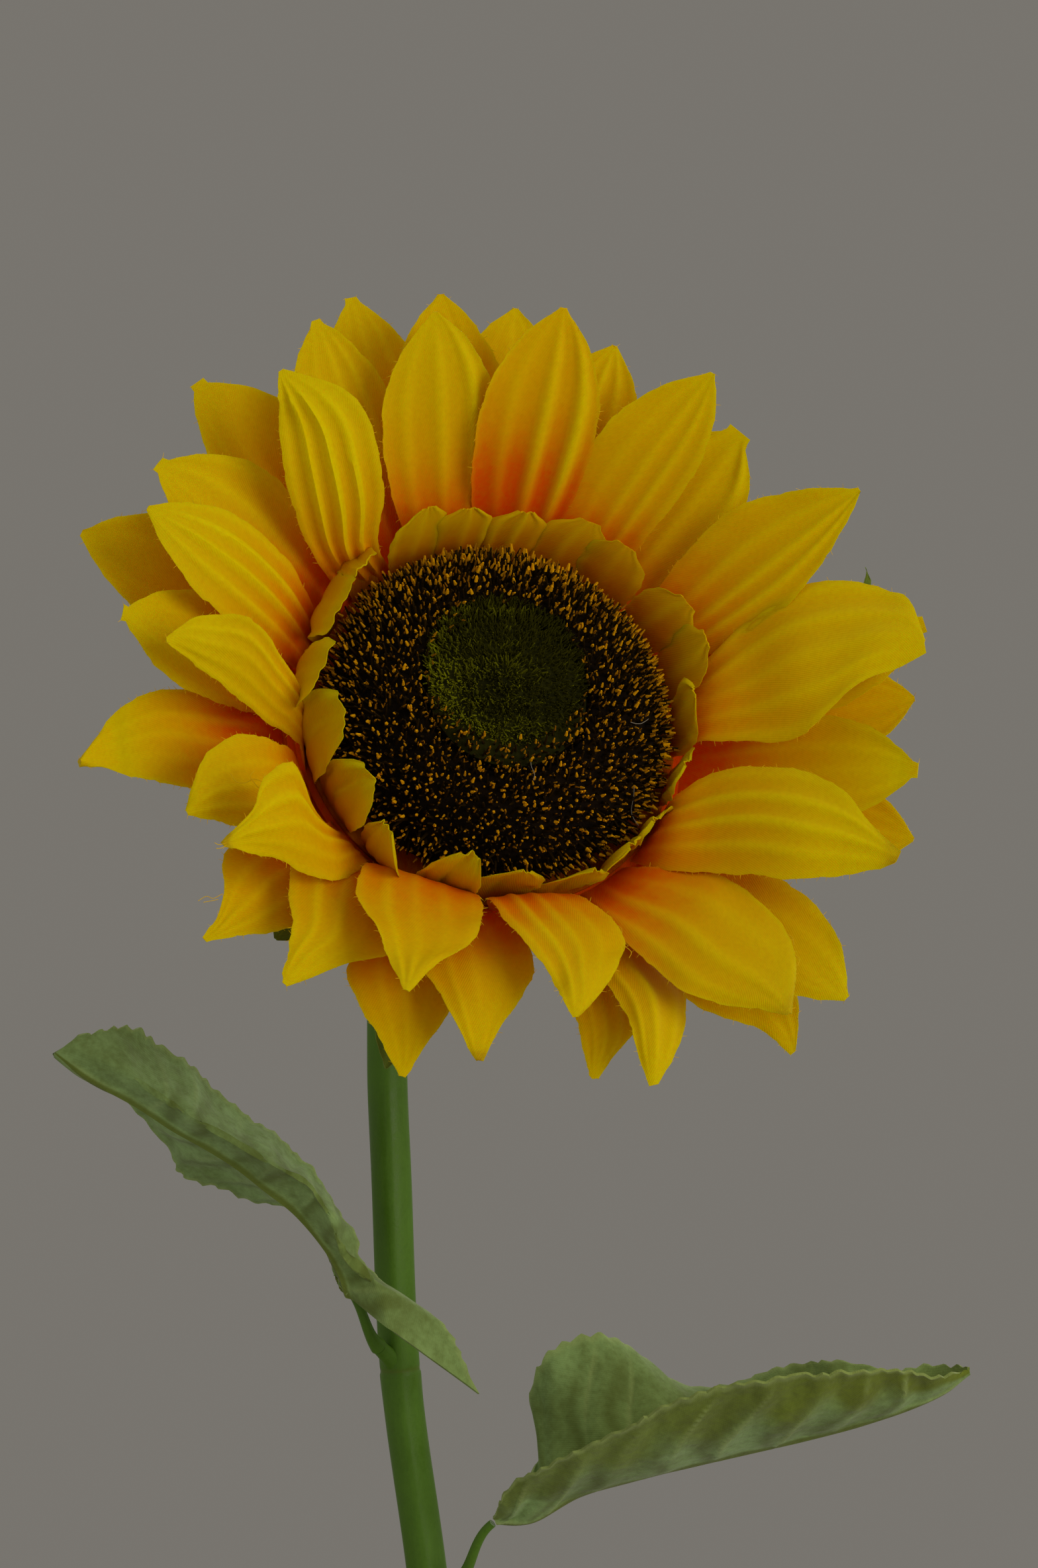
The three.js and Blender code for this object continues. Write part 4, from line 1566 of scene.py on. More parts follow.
# The back layer's lowered tones are painted shade, since it sits behind the other layers.
BACK = (
    Petal(83, 97, 19, 20, tone=-0.1),
    Petal(60, 84, 19, 22, tone=-0.1),
    Petal(29, 82, 19, 22, tone=-0.1),
    Petal(1, 92, 19, 20, -1, tone=-0.1),
    Petal(-20, 93, 19, 20, -1, tone=-0.1),
    Petal(-52, 97, 18, 20, width=24, pleat=0.2, tone=-0.05, net=(
        -57, 60, 6, -50.5, 59, 6, -43.5, 59, 5,
        -62.5, 71, 11, -53.5, 70.5, 11, -42, 70.5, 9,
        -60, 81, 13, -54, 81, 14, -44.5, 79.5, 12,
        -57, 87.5, 15, -54.5, 88, 16, -49, 88, 15,
        -56.5, 92.5, 17, -55, 93, 17, -52.5, 93, 17,
        -56, 97, 18,
    )),
    Petal(-79, 86, 17, 24, pleat=0.2, ripple=0.3, tone=-0.08, net=(
        -82, 52, 6, -77, 52, 6, -71, 53, 5,
        -82, 61, 10, -77, 61, 10, -71, 62, 9,
        -82, 70, 13, -77.5, 70, 14, -71.5, 70, 12,
        -82.5, 76.5, 15, -79, 77, 16, -74, 77, 15,
        -83, 83, 17, -81.5, 83, 17, -79, 82, 16,
        -82.5, 86, 18,
    )),
    Petal(-115, 88, 17, 24, pleat=0.12, ripple=0.3, tone=-0.16, net=(
        -120.5, 50.5, 6, -116.5, 47.5, 6, -111, 45, 5,
        -123, 62.5, 10, -115, 58, 11, -104, 52.5, 9,
        -122, 71, 13, -113, 67, 14, -102, 61.5, 12,
        -117.5, 76.5, 14, -111, 74.5, 15, -104, 71, 14,
        -113, 82.5, 16, -109.5, 82, 16, -106.5, 79, 16,
        -109, 88.5, 17,
    )),
    Petal(-142, 85, 17, 24, pleat=0.2, tone=-0.08, net=(
        -152, 51.5, 6, -143, 52.5, 6, -134.5, 54.5, 6,
        -154, 62.5, 10, -143.5, 63, 10, -133, 64, 10,
        -151, 70.5, 13, -142.5, 71, 13, -135, 70.5, 13,
        -146, 75, 15, -142, 77, 15, -137.5, 76.5, 15,
        -143, 81, 16.5, -141.5, 81.5, 16.5, -139.5, 81, 16.5,
        -141.5, 86, 17,
    )),
    Petal(-173, 92, 18, 22, pleat=0.15, ripple=0.3, tone=-0.26, ember=-0.35, net=(
        -183.5, 49.5, 6, -173.5, 51, 6, -163, 53.5, 6,
        -184.5, 63, 11, -174.5, 63, 11, -164, 66, 11,
        -183, 73.5, 14, -175.5, 73.5, 14, -167, 75.5, 14,
        -179, 82, 16, -174, 82, 16, -168.5, 82.5, 16,
        -174.5, 87.5, 17.5, -172.5, 88, 17.5, -170, 88, 17.5,
        -171, 92, 18,
    )),
    Petal(155, 96, 18, 22, 2, pleat=0.15, tone=-0.08, lean=0.15),
    Petal(128, 97, 19, 20, 2, pleat=0.2, tone=-0.1, lean=0.25, tip=0.14),
    Petal(104, 101, 19, 20, 1, width=24, tone=-0.1, tip=0.12),
)  # fmt: skip
INNER_ROWS = (
    (-170, 37.0, 23.5, -2, 17), (-151, 38.0, 23.5, 1, 18), (-131.5, 42.8, 23.0, -1, 14),
    (-111.5, 40.2, 21.5, 7, 15), (-96, 41.0, 19.5, 4, 14), (-77, 42.5, 17.0, 6, 13),
    (-58, 41.3, 15.5, 3, 13), (-40, 41.2, 16.0, -2, 13), (-21, 41.2, 16.0, 0, 13), (-3, 42.0, 16.0, 4, 14),
    (15, 48.6, 16.0, 2, 14), (32, 49.2, 15.5, -3, 14), (50, 48.4, 15.5, 0, 15), (66, 48.8, 15.5, -4, 15),
    (82, 46.0, 15.5, -3, 14), (97, 45.3, 16.5, -2, 14), (111, 46.3, 17.5, -4, 13), (127, 42.4, 19.5, 2, 12),
    (145, 40.6, 20.5, -3, 14), (166, 38.9, 21.5, -3, 15),
)  # fmt: skip
INNER_NETS = (
    (
        120, 47.5, 6, 126, 47.5, 6, 132.5, 46.5, 6,
        123, 45, 11, 128.5, 45, 11, 135, 44.5, 11,
        125.5, 42.5, 15, 131, 43, 15, 137, 42.5, 15,
        127.5, 42, 17, 132, 42, 17, 137, 41.5, 17,
    ),
    (
        133.5, 46.5, 7, 144, 45, 7, 155, 43.5, 7,
        136, 44, 13, 146.5, 42.5, 13, 158, 42, 13,
        137.5, 42, 17, 148, 41, 17, 159, 40.5, 17,
        139, 40.5, 19.5, 147.5, 39.5, 19.5, 157.5, 40, 19.5,
    ),
    (
        159.5, 43.5, 8, 169, 44, 8, 179, 43.5, 8,
        161, 42, 15, 171, 43, 15, 182.5, 44, 15,
        162, 40, 20, 173, 41, 20, 183.5, 44, 20,
        164.5, 38.5, 22.5, 174, 40, 22.5, 182, 43, 22.5,
    ),
    (
        -178.5, 43, 8, -170, 42.5, 8, -158.5, 43, 8,
        -180.5, 43, 16, -171, 40, 16, -157.5, 42.5, 16,
        -179.5, 40.5, 21, -169, 38, 21, -158, 41.5, 21,
        -177, 38, 23.5, -169, 37, 23.5, -160, 39.5, 23.5,
    ),
    (
        -161, 41.5, 8, -152, 41.5, 8, -141, 43, 8,
        -159.5, 41.5, 16, -149, 40.5, 16, -138, 44.5, 16,
        -156, 40, 21, -147, 39.5, 21, -137.5, 44, 21,
        -152, 38, 23, -144.5, 38.5, 23, -139, 42, 23,
    ),
    (
        -138.5, 41.5, 8, -132.5, 44, 8, -123.5, 45, 8,
        -138, 43, 16, -131.5, 44.5, 16, -122.5, 48, 16,
        -136, 43.5, 21, -131.5, 44, 21, -125, 48, 21,
        -134.5, 43.5, 23, -132.5, 43.5, 23, -129.5, 45, 23,
    ),
    (
        -119.5, 42.5, 7, -112, 42, 7, -102.5, 42, 7,
        -118.5, 42.5, 14, -111, 42, 14, -102, 44, 14,
        -115.5, 42, 19, -108.5, 40.5, 19, -102.5, 43.5, 19,
        -111.5, 40.5, 21, -107, 39.5, 21, -104, 40.5, 21,
    ),
)  # fmt: skip
LOOSE = (
    (-60.75, -19.5, 20, -59.75, -21.5, 20.25, -58, -22, 20.75, -56.25, -21.5, 21.5, -54.5, -22, 21, -55,
    -23, 20.5, -56, -22.5, 21.25, -57, -21, 21.75, -56, -19.5, 21.25),
    (-62.75, -43, 12, -64.75, -44, 12, -66.25, -43.75, 12.5, -68, -44.75, 12.5),
    (-63.75, -44.25, 12, -65.25, -44.75, 12.5, -67, -45.25, 13),
    (-65, -40.75, 33.25, -66.5, -41.25, 33.5, -67.5, -41, 34),
    (-65, -41.25, 33.25, -66.25, -42, 33.5, -67.25, -42.25, 34),
    (17.75, -52, 16.5, 19.25, -53.5, 17.5, 19.25, -55, 18),
    (18.5, -59, 21.25, 19.75, -60.5, 21.5, 19, -62, 22),
    (52.25, -58, 25, 53.5, -59.25, 25.5, 53.5, -61, 25.75),
    (52.25, -63.5, 27.5, 53.5, -65, 28, 52.75, -66.75, 28.5),
)  # fmt: skip
LONG_SEPAL = (
    15.5, 84, 6, 15, 85, 6, 14.5, 85.5, 6,
    20, 91.5, 9, 19, 92, 9, 18.5, 93, 9,
    21.5, 95, 11, 21, 95.5, 11, 20.5, 95.5, 11,
    22.5, 95.5, 12,
)  # fmt: skip


@dataclass
class Bloom:
    """The flower head: petals, sepals, seed disc, green button and the cup behind them."""

    at: BloomFrame = field(default_factory=BloomFrame)
    front: Sequence[Petal] = FRONT
    middle: Sequence[Petal] = MIDDLE
    back: Sequence[Petal] = BACK
    loose: Sequence[Sequence[float]] = LOOSE
    longer: dict[int, Triple] = field(
        default_factory=lambda: {7: (-136.5, 70, 6), 8: (-109.5, 83, 6), 9: (-96, 65.5, 5)}
    )
    sepal_count: int = 13

    def inner(self) -> list[Petal]:
        """The short petals that hug the disc, leaning in on the lower left and out on the upper right.

        Returns:
            The petals, in turn about the axis.
        """
        petals = []
        for i, (azimuth, reach, rise, sweep, width) in enumerate(INNER_ROWS):
            upright = min(1.0, max(0.0, (50 - reach) / 10))
            hand_set = (i + 3) % len(INNER_ROWS)
            petal = Petal(
                azimuth, reach, rise, mix(72, 92, upright), sweep, width,
                pleat=mix(0.15, 0.6, upright),
                ripple=mix(0.25, 0.6, upright),
                roll=14 * math.sin(2.3 * i) * upright,
                cup=mix(0.0, -0.14, upright),
                crests=2.3 + 0.4 * math.sin(i),
                tone=0.03 * math.sin(5 * i),
                tip=mix(0.34, 0.16, upright),
                ember=0.4 * max(0.0, math.cos(math.radians(1.1 * (azimuth - 60)))),
                net=INNER_NETS[hand_set] if hand_set < len(INNER_NETS) else (),
            )  # fmt: skip
            petals.append(petal)
        return petals

    def sepals(self) -> list[Petal]:
        """The green layer behind the rays, with one sepal that reaches past them on the right.

        Returns:
            The sepals, in turn about the axis.
        """
        petals = [Petal(15, 95, 12, 8, width=12, pleat=0.0, ripple=0.0, crests=1, net=LONG_SEPAL)]
        for i in range(1, self.sepal_count):
            azimuth = 15 + 360 / self.sepal_count * i + 3 * math.sin(1.9 * i)
            turn, reach, rise = self.longer.get(i, (azimuth, 67 + 3 * math.sin(2.7 * i), 4))
            petals.append(
                Petal(turn, reach, rise, 8, 2 * math.sin(2.2 * i), width=18, pleat=0.2, ripple=0.8, crests=1)
            )
        return petals

    def build(self, wardrobe: Wardrobe) -> None:
        """Builds and dresses every piece of the bloom.

        Args:
            wardrobe: the finishes.
        """
        satin, at = ("ray_fabric", RAY_CUT, RAY_SATIN), self.at
        layer = PetalLayer(
            "inner_petal_cloth", "inner_petals", "inner_fabric", INNER_CUT, INNER_SATIN, self.inner(), 0
        )
        layer.build(at, wardrobe)
        margins = Margins()
        rays = {"front": self.front, "middle": self.middle, "back": self.back}
        for index, (name, petals) in enumerate(rays.items()):
            layer = PetalLayer(name + "_ray_cloth", "rays_" + name, *satin, petals, index + 1)
            margins.join(layer.build(at, wardrobe))
        layer = PetalLayer(
            "sepal_cloth", "sepals", "sepal_fabric", SEPAL_CUT, SEPAL_CLOTH, self.sepals(), 4, upper=True
        )
        layer.build(at, wardrobe)
        thread = wardrobe.wear(THREAD)
        fray = FibreField(
            "petal_threads", -0.15, 0.65, 0.05, 0.02,
            sides=3, wander=0.9, spread=0.7, spacing=1.6, seat=Seat.MARGIN,
        )  # fmt: skip
        points, leans = np.concatenate(margins.points), np.concatenate(margins.leans)
        settle(fray.grow(points, leans, np.ones(margins.count), thread, margins.edges), "ray_fabric")
        settle(strands("petal_loose_threads", self.loose, 0.07, at, thread), "ray_fabric")
        SeedDisc(at).build(wardrobe)
        GreenButton(at).build(wardrobe)
        Calyx(at).build(wardrobe)


@dataclass
class SeedDisc:
    """The cushion of stiff bristles with golden tips round a hollow."""

    at: BloomFrame
    bristles: int = 2700
    length: float = 3.6
    centre: float = 5.0
    clear: float = 17.0
    dome: tuple[tuple[float, float], ...] = (
        (18.6, 17.6), (20.5, 18.0), (25.5, 16.9), (30.5, 14.4), (34.2, 10.8), (35.9, 6.6), (35.9, 3.6),
    )  # fmt: skip

    def _seats(self) -> tuple[Array, Array]:
        """Seats and leans of the bristles, wound outwards by the golden angle, evenly by area.

        Returns:
            Their seats and leans in the bloom's frame.
        """
        curve = np.array(((13.0, 18.6),) + self.dome)
        steps = travelled(curve)
        fine = np.linspace(0, 1, 400) * steps[-1]
        radius, height = np.interp(fine, steps, curve[:, 0]), np.interp(fine, steps, curve[:, 1])
        bands = 0.5 * (radius[1:] + radius[:-1]) * np.hypot(np.diff(radius), np.diff(height))
        area = np.concatenate([[0], np.cumsum(bands)])
        number = np.arange(self.bristles)
        share = (number + 0.5) / self.bristles * area[-1]
        dice = np.random.default_rng(8)
        r = np.interp(share, area, radius) + dice.normal(0, 0.4, self.bristles)
        h = np.interp(share, area, height)
        turn = number * GOLDEN + dice.normal(0, 0.4, self.bristles) / r
        slope_r, slope_h = np.gradient(radius), np.gradient(height)
        way = np.stack([np.interp(share, area, -slope_h), np.interp(share, area, slope_r)], axis=1)
        way = unit(way + np.array([0.0, 0.04]))
        seats, leans = polar(r, turn, h), polar(way[:, 0], turn, way[:, 1])
        apart = np.hypot(seats[:, 0], seats[:, 1] - self.centre)
        above = (seats[:, 1] > self.centre) & (seats[:, 0] < 3) & (dice.random(len(seats)) < 0.3)
        kept = apart > np.where(above, self.clear - 2.2, self.clear)
        return seats[kept], leans[kept]

    def build(self, wardrobe: Wardrobe) -> None:
        """Builds the felt dome, the bristles, their tips and the stray fibres.

        Args:
            wardrobe: the finishes.
        """
        profile = [(0, 0.2), (34.8, 0.2), (36.0, 1.5), *reversed(self.dome)]
        profile += [(18.3, 17.2), (18.1, 16.2), (0, 16.2)]
        points, faces = spun(rounded(profile, 1.5, 3), 96)
        draft = Draft("disc_cushion").add(self.at.place(points), faces)
        settle(draft.make(wardrobe.wear(DISC_FELT)), "seed_pile", "seed_disc")
        seats, leans = self._seats()
        dice = np.random.default_rng(21)
        sizes = np.clip(dice.normal(0.96, 0.11, len(seats)), 0.66, 1.15)
        sizes = sizes + 0.2 * np.clip(seats[:, 1] / 36, 0, 1) ** 2
        placed, aimed = self.at.place(seats), self.at.aim(leans)
        pick = dice.random(len(seats))
        for name, least, most, finish, start, end, foot, head in (
            ("bristles", 0.0, 1.0, BRISTLE, -0.6, self.length - 0.5, 0.36, 0.16),
            ("tips_gold", 0.0, 0.2, TIP_GOLD, self.length - 1.25, self.length, 0.38, 0.171),
            ("tips_ochre", 0.2, 0.56, TIP_OCHRE, self.length - 1.25, self.length, 0.28, 0.126),
            ("tips_brown", 0.56, 0.94, TIP_BROWN, self.length - 1.25, self.length, 0.23, 0.1035),
        ):
            chosen = (pick >= least) & (pick < most)
            tuft = FibreField("disc_" + name, start, end, foot, head, wander=0.38, spread=0.0)
            piece = tuft.grow(placed[chosen], aimed[chosen], sizes[chosen], wardrobe.wear(finish))
            settle(piece, "seed_pile")
        lines = []
        for angle, radius, length, turn in ((-42, 36, 7, 105), (-82, 20, 4, 80), (-14, 29, 5, 20)):
            steps = np.linspace(-0.5, 0.5, 5)
            seat, heading = math.radians(angle), math.radians(turn)
            run, bend = length * steps, 0.5 * np.sin(steps * 4 + angle)
            x = radius * math.cos(seat) + run * math.cos(heading) - bend * math.sin(heading)
            y = radius * math.sin(seat) + run * math.sin(heading) + bend * math.cos(heading)
            height = np.interp(np.hypot(x, y), *np.array(self.dome[:6]).T) + self.length + 0.5
            lines.append(np.stack([x, y, height], axis=1))
        settle(strands("disc_stray_fibres", lines, 0.06, self.at, wardrobe.wear(PALE_THREAD)), "seed_pile")


@dataclass
class GreenButton:
    """The short green pile in the disc's hollow, painted brighter along its lower left as painted light."""

    at: BloomFrame
    radius: float = 17.3
    edge: float = 18.3
    crown: float = 20.3
    shift: float = 5.0
    fibres: int = 4200
    pile: float = 1.5

    def build(self, wardrobe: Wardrobe) -> None:
        """Builds the pad and its pile.

        Args:
            wardrobe: the finishes.
        """
        profile = [(0, 17.8), (self.radius - 0.3, 17.8), (self.radius, self.edge)]
        profile += [(self.radius * 0.8, mix(self.edge, self.crown, 0.55))]
        profile += [(self.radius * 0.4, self.crown - 0.2), (0, self.crown)]
        points, faces = spun(rounded(profile, 3.0), 64)
        draft = Draft("button_pad").add(self.at.place(points), faces)
        settle(draft.make(wardrobe.wear(BUTTON_FELT)), "button_pile", "disc_button")
        dice = np.random.default_rng(12)
        radius = self.radius * np.sqrt(dice.random(self.fibres))
        turn = dice.random(self.fibres) * 2 * np.pi
        seats = polar(radius, turn, 0.0) + np.array([0, self.shift, 0])
        apart = np.minimum(1, np.hypot(seats[:, 0], seats[:, 1]) / self.radius)
        seats[:, 2] = self.edge + (self.crown - self.edge) * (1 - apart**2.2) - 0.2
        leans = unit(polar(0.25 + 0.35 * radius / self.radius, turn, 1.0))
        clump = waves(seats[:, 0] / 9, 3) + waves(seats[:, 1] / 9, 4)
        # Painted light: the glow value picks brighter pile on the lower left and darker pile towards the upper
        # right, over random clumps.
        side = -seats[:, 0] * 0.85 - seats[:, 1] * 0.45
        glow = 0.045 * side + 0.5 * clump + 0.35 * (side > 7) + dice.normal(0, 0.35, self.fibres)
        sizes = np.clip(dice.normal(1, 0.2, self.fibres), 0.5, 1.5)
        placed, aimed = self.at.place(seats), self.at.aim(leans)
        # Painted shade, middle and painted light copies of one pile colour.
        for name, least, most, finish in (
            ("dark", -math.inf, 0.15, PILE_PAINTED_SHADE),
            ("green", 0.15, 0.95, PILE_GREEN),
            ("bright", 0.95, math.inf, PILE_PAINTED_LIGHT),
        ):
            chosen = (glow >= least) & (glow < most)
            pile = FibreField(
                "button_pile_" + name, -0.3, self.pile, 0.2, 0.09, sides=4, wander=0.5, spread=0.15, seed=9
            )
            piece = pile.grow(placed[chosen], aimed[chosen], sizes[chosen], wardrobe.wear(finish))
            settle(piece, "button_pile")


@dataclass
class Calyx:
    """The moulded cup behind the petals, with rows of short pointed bracts on its outside."""

    at: BloomFrame
    depth: float = 24.0
    radius: float = 27.0
    neck_radius: float = 5.6
    neck: float = 6.0
    rows: tuple[tuple[float, ...], ...] = ((9, 5.5, 13, 8.5), (13, 12.5, 14, 9.5), (17, 19.0, 12, 9.0))

    def outline(self) -> Pairs:
        """The cup's outside from its neck to its brim, radius by height.

        Returns:
            Radius and height pairs.
        """
        top = -GAP - 5 * LAYER
        low = top - self.depth
        neck = [(self.neck_radius, low), (self.neck_radius, low + self.neck - 0.6), (10, low + self.neck + 3)]
        return neck + [(19, top - 9), (self.radius - 1.5, top - 3), (self.radius, top)]

    def build(self, wardrobe: Wardrobe) -> None:
        """Builds the cup with its ribs and bracts.

        Args:
            wardrobe: the finishes.
        """
        side = rounded(self.outline(), 2.5)
        points, faces = spun([(0, side[0][1]), *side, (0, side[-1][1])], 96)
        turn = np.arctan2(points[:, 1], points[:, 0])
        reach = np.hypot(points[:, 0], points[:, 1])
        rib = 0.28 * np.cos(13 * turn) * ease((reach - 8) / 8) * ease((self.radius - reach) / 2)
        points[:, :2] *= (1 + rib / np.maximum(reach, 1))[:, None]
        draft = Draft("calyx").add(self.at.place(points), faces)
        radii, heights = np.array(side).T
        length = travelled(np.array(side))
        u, v = np.linspace(0, 1, 9)[:, None], np.linspace(-1, 1, 7)[None, :]
        share = np.maximum(0.05, np.sin(np.pi * np.clip(0.18 + 0.8 * u, 0, 1)) ** 0.8)
        for row, (count, begin, size, width) in enumerate(self.rows):
            path = np.clip(begin + size * u, 0, length[-1])
            radius = np.interp(path, length, radii) + 0.35 + 1.5 * u * u
            height = np.interp(path, length, heights) - 0.3 - 0.9 * u * u
            for number in range(count):
                azimuth = 2 * math.pi * (number + 0.5 * (row % 2)) / count
                angle = azimuth + width / 2 * share * v / np.maximum(radius, 3)
                grid = polar(radius + 0.3 * (1 - v * v), angle, height)
                draft.add(*blade(self.at.place(grid[:, ::-1]), 0.5))
        settle(draft.make(wardrobe.wear(CALYX_PLASTIC)), "stem_plastic", "calyx_cup")


# The stem and its leaves


@dataclass(frozen=True)
class Leaf:
    """One leaf of pressed cloth: its node's height, where its rib begins and ends, and its net.

    The net's rows go from base to tip, each from one margin to the other at the given shares across.
    The tones say how dark the cloth is painted at those shares, as painted shade where the blade faces
    down. Each notch has its share along, its side and its depth; pitch is how far apart the teeth are,
    in millimetres, and past bare, a share along, the first margin has none. Veined says how strongly
    the side veins show, under how dark its back is towards the margins, and paling how much paler it
    gets from base to tip.
    """

    node: float
    stalk_short: float
    base: Triple
    tip: Triple
    net: tuple[float, ...]
    across: tuple[float, ...] = (-1, -0.5, 0, 0.5, 1)
    tooth: float = 1.1
    crisp: float = 0.75
    pitch: float = 4.5
    shade_tones: tuple[float, ...] = (1, 1, 1, 1, 1)
    notches: tuple[Triple, ...] = ()
    bare: float = 2.0
    veined: float = 1.0
    under: float = 0.0
    paling: float = 0.0
    rows: int = 160
    columns: int = 60

    def saw(self, line: Array, seed: int) -> Array:
        """How far the teeth stand out along a margin, near -0.5 to 0.5.

        Args:
            line: the margin's places.
            seed: fixes how the teeth differ.

        Returns:
            One value for each place.
        """
        gone = travelled(line)
        place = (gone / self.pitch + 0.35 * waves(gone / 30, seed)) % 1.0
        size = 0.75 + 0.25 * waves(gone / 20, seed + 1)
        return (np.minimum(place / 0.65, (1 - place) / 0.35) - 0.5) * size

    def pressed(self, places: Array, distance: Array, u: Array, v: Array, seed: int) -> Grids:
        """Presses the veins, the quilting and small dents into a blade.

        Args:
            places: its middle surface, along by across.
            distance: how far each place is from the rib, less than zero on one side.
            u: the share along, one value a row.
            v: the share across, from -1 to 1, one value a column.
            seed: fixes its dents.

        Returns:
            Its places, the four form values and the weave coordinates, each a grid.
        """
        length = np.linalg.norm(np.array(self.tip) - np.array(self.base))
        share = np.abs(v)[None, :]
        grid = u[:, None] + 0 * share
        vein = np.exp(-((np.abs(distance) / 0.8) ** 2)) * ease((1 - u) * 12)[:, None]
        quilt, quilt_shade = np.zeros_like(grid), np.zeros_like(grid)
        for side in (-1.0, 1.0):
            chosen = distance * side > 0
            for number in range(8):
                start = 0.01 + 0.108 * number + 0.014 * math.sin(3.3 * number + side)
                bowed = start + (0.17 - 0.013 * number) * share**1.2 + 0.012 * np.sin(5 * share + number + side)
                gap = (grid - bowed) * length * 0.85
                strength = ease((1.02 - share) * 4) * 0.85
                strength = strength * self.veined * (0.6 + 0.4 * np.sin(4 * share + 1.7 * number + side))
                line = np.exp(-((gap / 0.5) ** 2)) * strength
                vein = np.where(chosen, np.maximum(vein, line), vein)
                swell = np.exp(-(((gap - 4) / 3.2) ** 2)) * np.sin(np.pi * share) ** 0.7
                quilt = quilt + np.where(chosen, 1.2 * swell, 0)
                # Painted shade in a band beside each vein, where the quilting dips.
                shade = np.exp(-(((gap + 2.2 + 1.2 * np.sin(9 * share + number)) / 1.5) ** 2)) * (1 - share**3)
                quilt_shade = np.where(chosen, np.maximum(quilt_shade, shade), quilt_shade)
        edge = share**2 * ease((1 - u) * 5)[:, None]
        ripple = 0.9 * waves(u * 3, seed)[:, None] * edge + 0.35 * waves(u * 9, seed + 3)[:, None] * edge
        places = places + normals(places) * (ripple + quilt - 0.6 * vein)[..., None]
        # Painted shade: the tones darken the bands of the blade that face down, and paling shifts them from
        # base to tip.
        shade_tones = np.interp(v, self.across, self.shade_tones) + self.paling * (0.5 - grid)
        # The third form value holds the veins, and below zero the painted shade.
        form = np.stack([grid, share + 0 * grid, vein - 0.8 * quilt_shade * (1 - vein), shade_tones], axis=-1)
        return places, form, np.stack([distance / 10, grid * length / 10], axis=-1)

    def surface(self, seed: int) -> Grids:
        """The blade's middle surface.

        Args:
            seed: fixes its small dents.

        Returns:
            Its places, the four form values and the weave coordinates, each a grid.
        """
        net = np.array(self.net, float).reshape(-1, len(self.across), 3)
        u = np.linspace(0, 1, self.rows + 1)
        v = np.linspace(-1, 1, self.columns + 1)
        rows = threaded(net, np.linspace(0, 1, len(net)), u)
        places = threaded(rows.transpose(1, 0, 2), self.across, v, self.crisp).transpose(1, 0, 2)
        distance = from_rib(places)
        ends = ease((1 - u) * 25 + 0.4) * ease(u * 10)
        for edge, inner, side in ((0, 3, -1), (-1, -4, 1)):
            way = unit(places[:, edge] - places[:, inner])
            tooth = self.tooth * self.saw(places[:, edge], seed + edge) * ends
            if side < 0:
                tooth = tooth * ease((self.bare - u) * 20)
            cut = np.zeros_like(u)
            for where, notched, depth in self.notches:
                if notched == side:
                    cut = cut + depth * np.maximum(0, 1 - np.abs(u - where) / 0.045)
            rim, wide = ease((v * side - 0.84) / 0.16), ease((v * side - 0.4) / 0.6)
            shift = tooth[:, None] * rim - cut[:, None] * wide
            places = places + way[:, None] * shift[..., None]
        return self.pressed(places, distance, u, v, seed)


